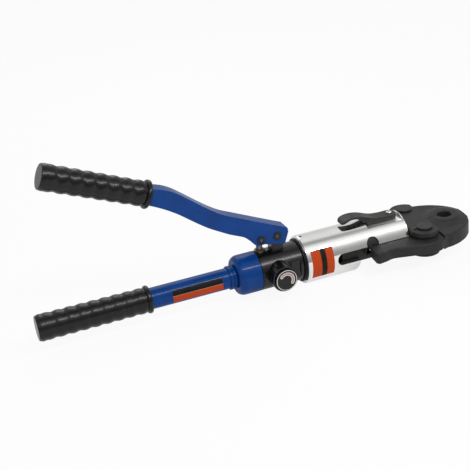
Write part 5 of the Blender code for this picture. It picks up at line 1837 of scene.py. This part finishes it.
@dataclass
class Studio:
    """Pale floor, soft light and the camera.

    Attributes:
        eye: the camera's place, fitted to the photo.
        right: the way its picture's right side points.
        up: the way its picture's top points.
        back: the way it looks away from.
        lens: focal length in millimetres.
        sensor: width of the sensor in millimetres.
        clip: nearest and farthest distance that is drawn.
        floor: height of the floor.
        floor_reach: half the floor's width.
        white: colour of the background.
        floor_seen: how much of the background's white the floor shows the camera.
        floor_mirrored: how much of it the floor shows in a mirror.
        world_light: strength of the light from all round.
        room: (degrees, level) pairs of the strips that polished metal mirrors.
        lamps: a long strip over the barrel and a soft one behind.
    """

    eye: Triple = (-0.10396, -0.93741, 0.50449)
    right: Triple = (0.92629, -0.36475, -0.09459)
    up: Triple = (0.23405, 0.36016, 0.90305)
    back: Triple = (-0.29531, -0.85862, 0.41898)
    lens: float = 80.43
    sensor: float = 36.0
    clip: Span = (0.05, 20.0)
    floor: float = -0.0272
    floor_reach: float = 6.0
    white: Colour = grey(1.0)
    floor_seen: float = 0.92
    floor_mirrored: float = 0.35
    world_light: float = 0.46
    room: tuple[Span, ...] = (
        (-110.0, 0.85), (-70.0, 0.64), (-28.0, 0.82), (-16.0, 0.76), (-3.0, 0.36), (6.0, 0.44),
        (20.0, 0.95), (28.0, 1.0), (44.0, 1.0), (58.0, 0.55), (72.0, 0.36), (90.0, 0.30),
        (104.0, 0.85))
    lamps: tuple[Lamp, ...] = (
        Lamp("strip", (0.73, -0.87, 1.14), (0.73, 0.0, 0.03), (2.0, 0.13), 13.0),
        Lamp("back", (0.35, 0.95, 0.78), (0.25, 0.0, 0.03), (0.60, 0.60), 2.0))

    def build(self) -> None:
        """Set up the stage, the lamps, the world and the camera."""
        self.make_camera()
        self.make_floor()
        self.make_world()
        for lamp in self.lamps:
            lamp.hang()
        bpy.context.scene.view_settings.view_transform = "Standard"

    def make_camera(self) -> None:
        """Place the camera at the fitted view."""
        data = bpy.data.cameras.new("view")
        data.lens, data.sensor_width, data.sensor_fit = self.lens, self.sensor, "HORIZONTAL"
        data.clip_start, data.clip_end = self.clip
        camera = bpy.data.objects.new("view", data)
        bpy.context.collection.objects.link(camera)
        turn = Matrix((self.right, self.up, self.back)).transposed().to_4x4()
        camera.matrix_world = Matrix.Translation(self.eye) @ turn
        bpy.context.scene.camera = camera

    def make_floor(self) -> None:
        """Lay a wide pale floor under the tool."""
        reach = self.floor_reach
        form = Form.block((-reach, -reach, self.floor - 0.01), (reach, reach, self.floor))
        board = Board("floor")
        board.set(base_color=grey(0.93), roughness=0.9, specular=0.0)
        camera, mirrored = self.seen(board)
        glow = board.node("ShaderNodeEmission", sockets={"Color": self.white, "Strength": 1.0})
        share = (camera * self.floor_seen).greater(mirrored * self.floor_mirrored)
        plain = Wire(board, board.shader.outputs[0])
        mixed = board.node("ShaderNodeMixShader", sockets={0: share, 1: plain, 2: glow})
        board.tree.links.new(mixed.socket, board.tree.nodes["Material Output"].inputs["Surface"])
        form.piece("floor", board.material)

    @staticmethod
    def seen(board: Board) -> tuple[Wire, Wire]:
        """Two masks: 1 where the background is seen directly, 1 where in a mirror or glass."""
        path = board.tree.nodes.new("ShaderNodeLightPath")
        camera, glossy, through = (Wire(board, path.outputs[f"Is {kind} Ray"])
                                   for kind in ("Camera", "Glossy", "Transmission"))
        return camera, glossy.greater(through)

    def make_world(self) -> None:
        """Light the scene from all round: white where seen, darker strips in mirrors."""
        world = bpy.data.worlds.new("studio")
        bpy.context.scene.world = world
        board = Board("studio", world)
        light = board.tree.nodes["Background"]
        light.inputs["Color"].default_value = (0.98, 0.99, 1.0, 1.0)
        light.inputs["Strength"].default_value = self.world_light
        camera, mirrored = self.seen(board)
        way = board.node("ShaderNodeTexCoord", output="Generated")
        _, ahead, up = board.axes(way)
        lean = (ahead * -1.0).angle_from(up) / math.tau + 0.5
        stops = [(0.5 + degrees / 360.0, grey(level)) for degrees, level in self.room]
        room = board.node("ShaderNodeValToRGB", {"stops": stops}, {0: lean})
        colour = board.mix(camera, room, self.white)
        shown = board.node("ShaderNodeBackground", sockets={"Color": colour, "Strength": 1.0})
        mixed = board.node("ShaderNodeMixShader", sockets={
            0: camera.greater(mirrored), 1: Wire(board, light.outputs[0]), 2: shown})
        board.tree.links.new(mixed.socket, board.tree.nodes["World Output"].inputs["Surface"])


def main() -> None:
    """Dress the press and light it."""
    logging.basicConfig(level=logging.INFO, format="%(message)s")
    at = Layout()
    bench, palette = Bench(), Palette(at)
    for kind in (Grips, Reservoir, PumpBody, ReleaseKnob, PumpLever, Head, Jaws, Latch, Ram):
        kind(bench, palette, at).build()
        log.info("%s done", kind.__name__)
    Studio().build()
    log.info("%d new pieces", bench.count)


if __name__ == "__main__":
    main()
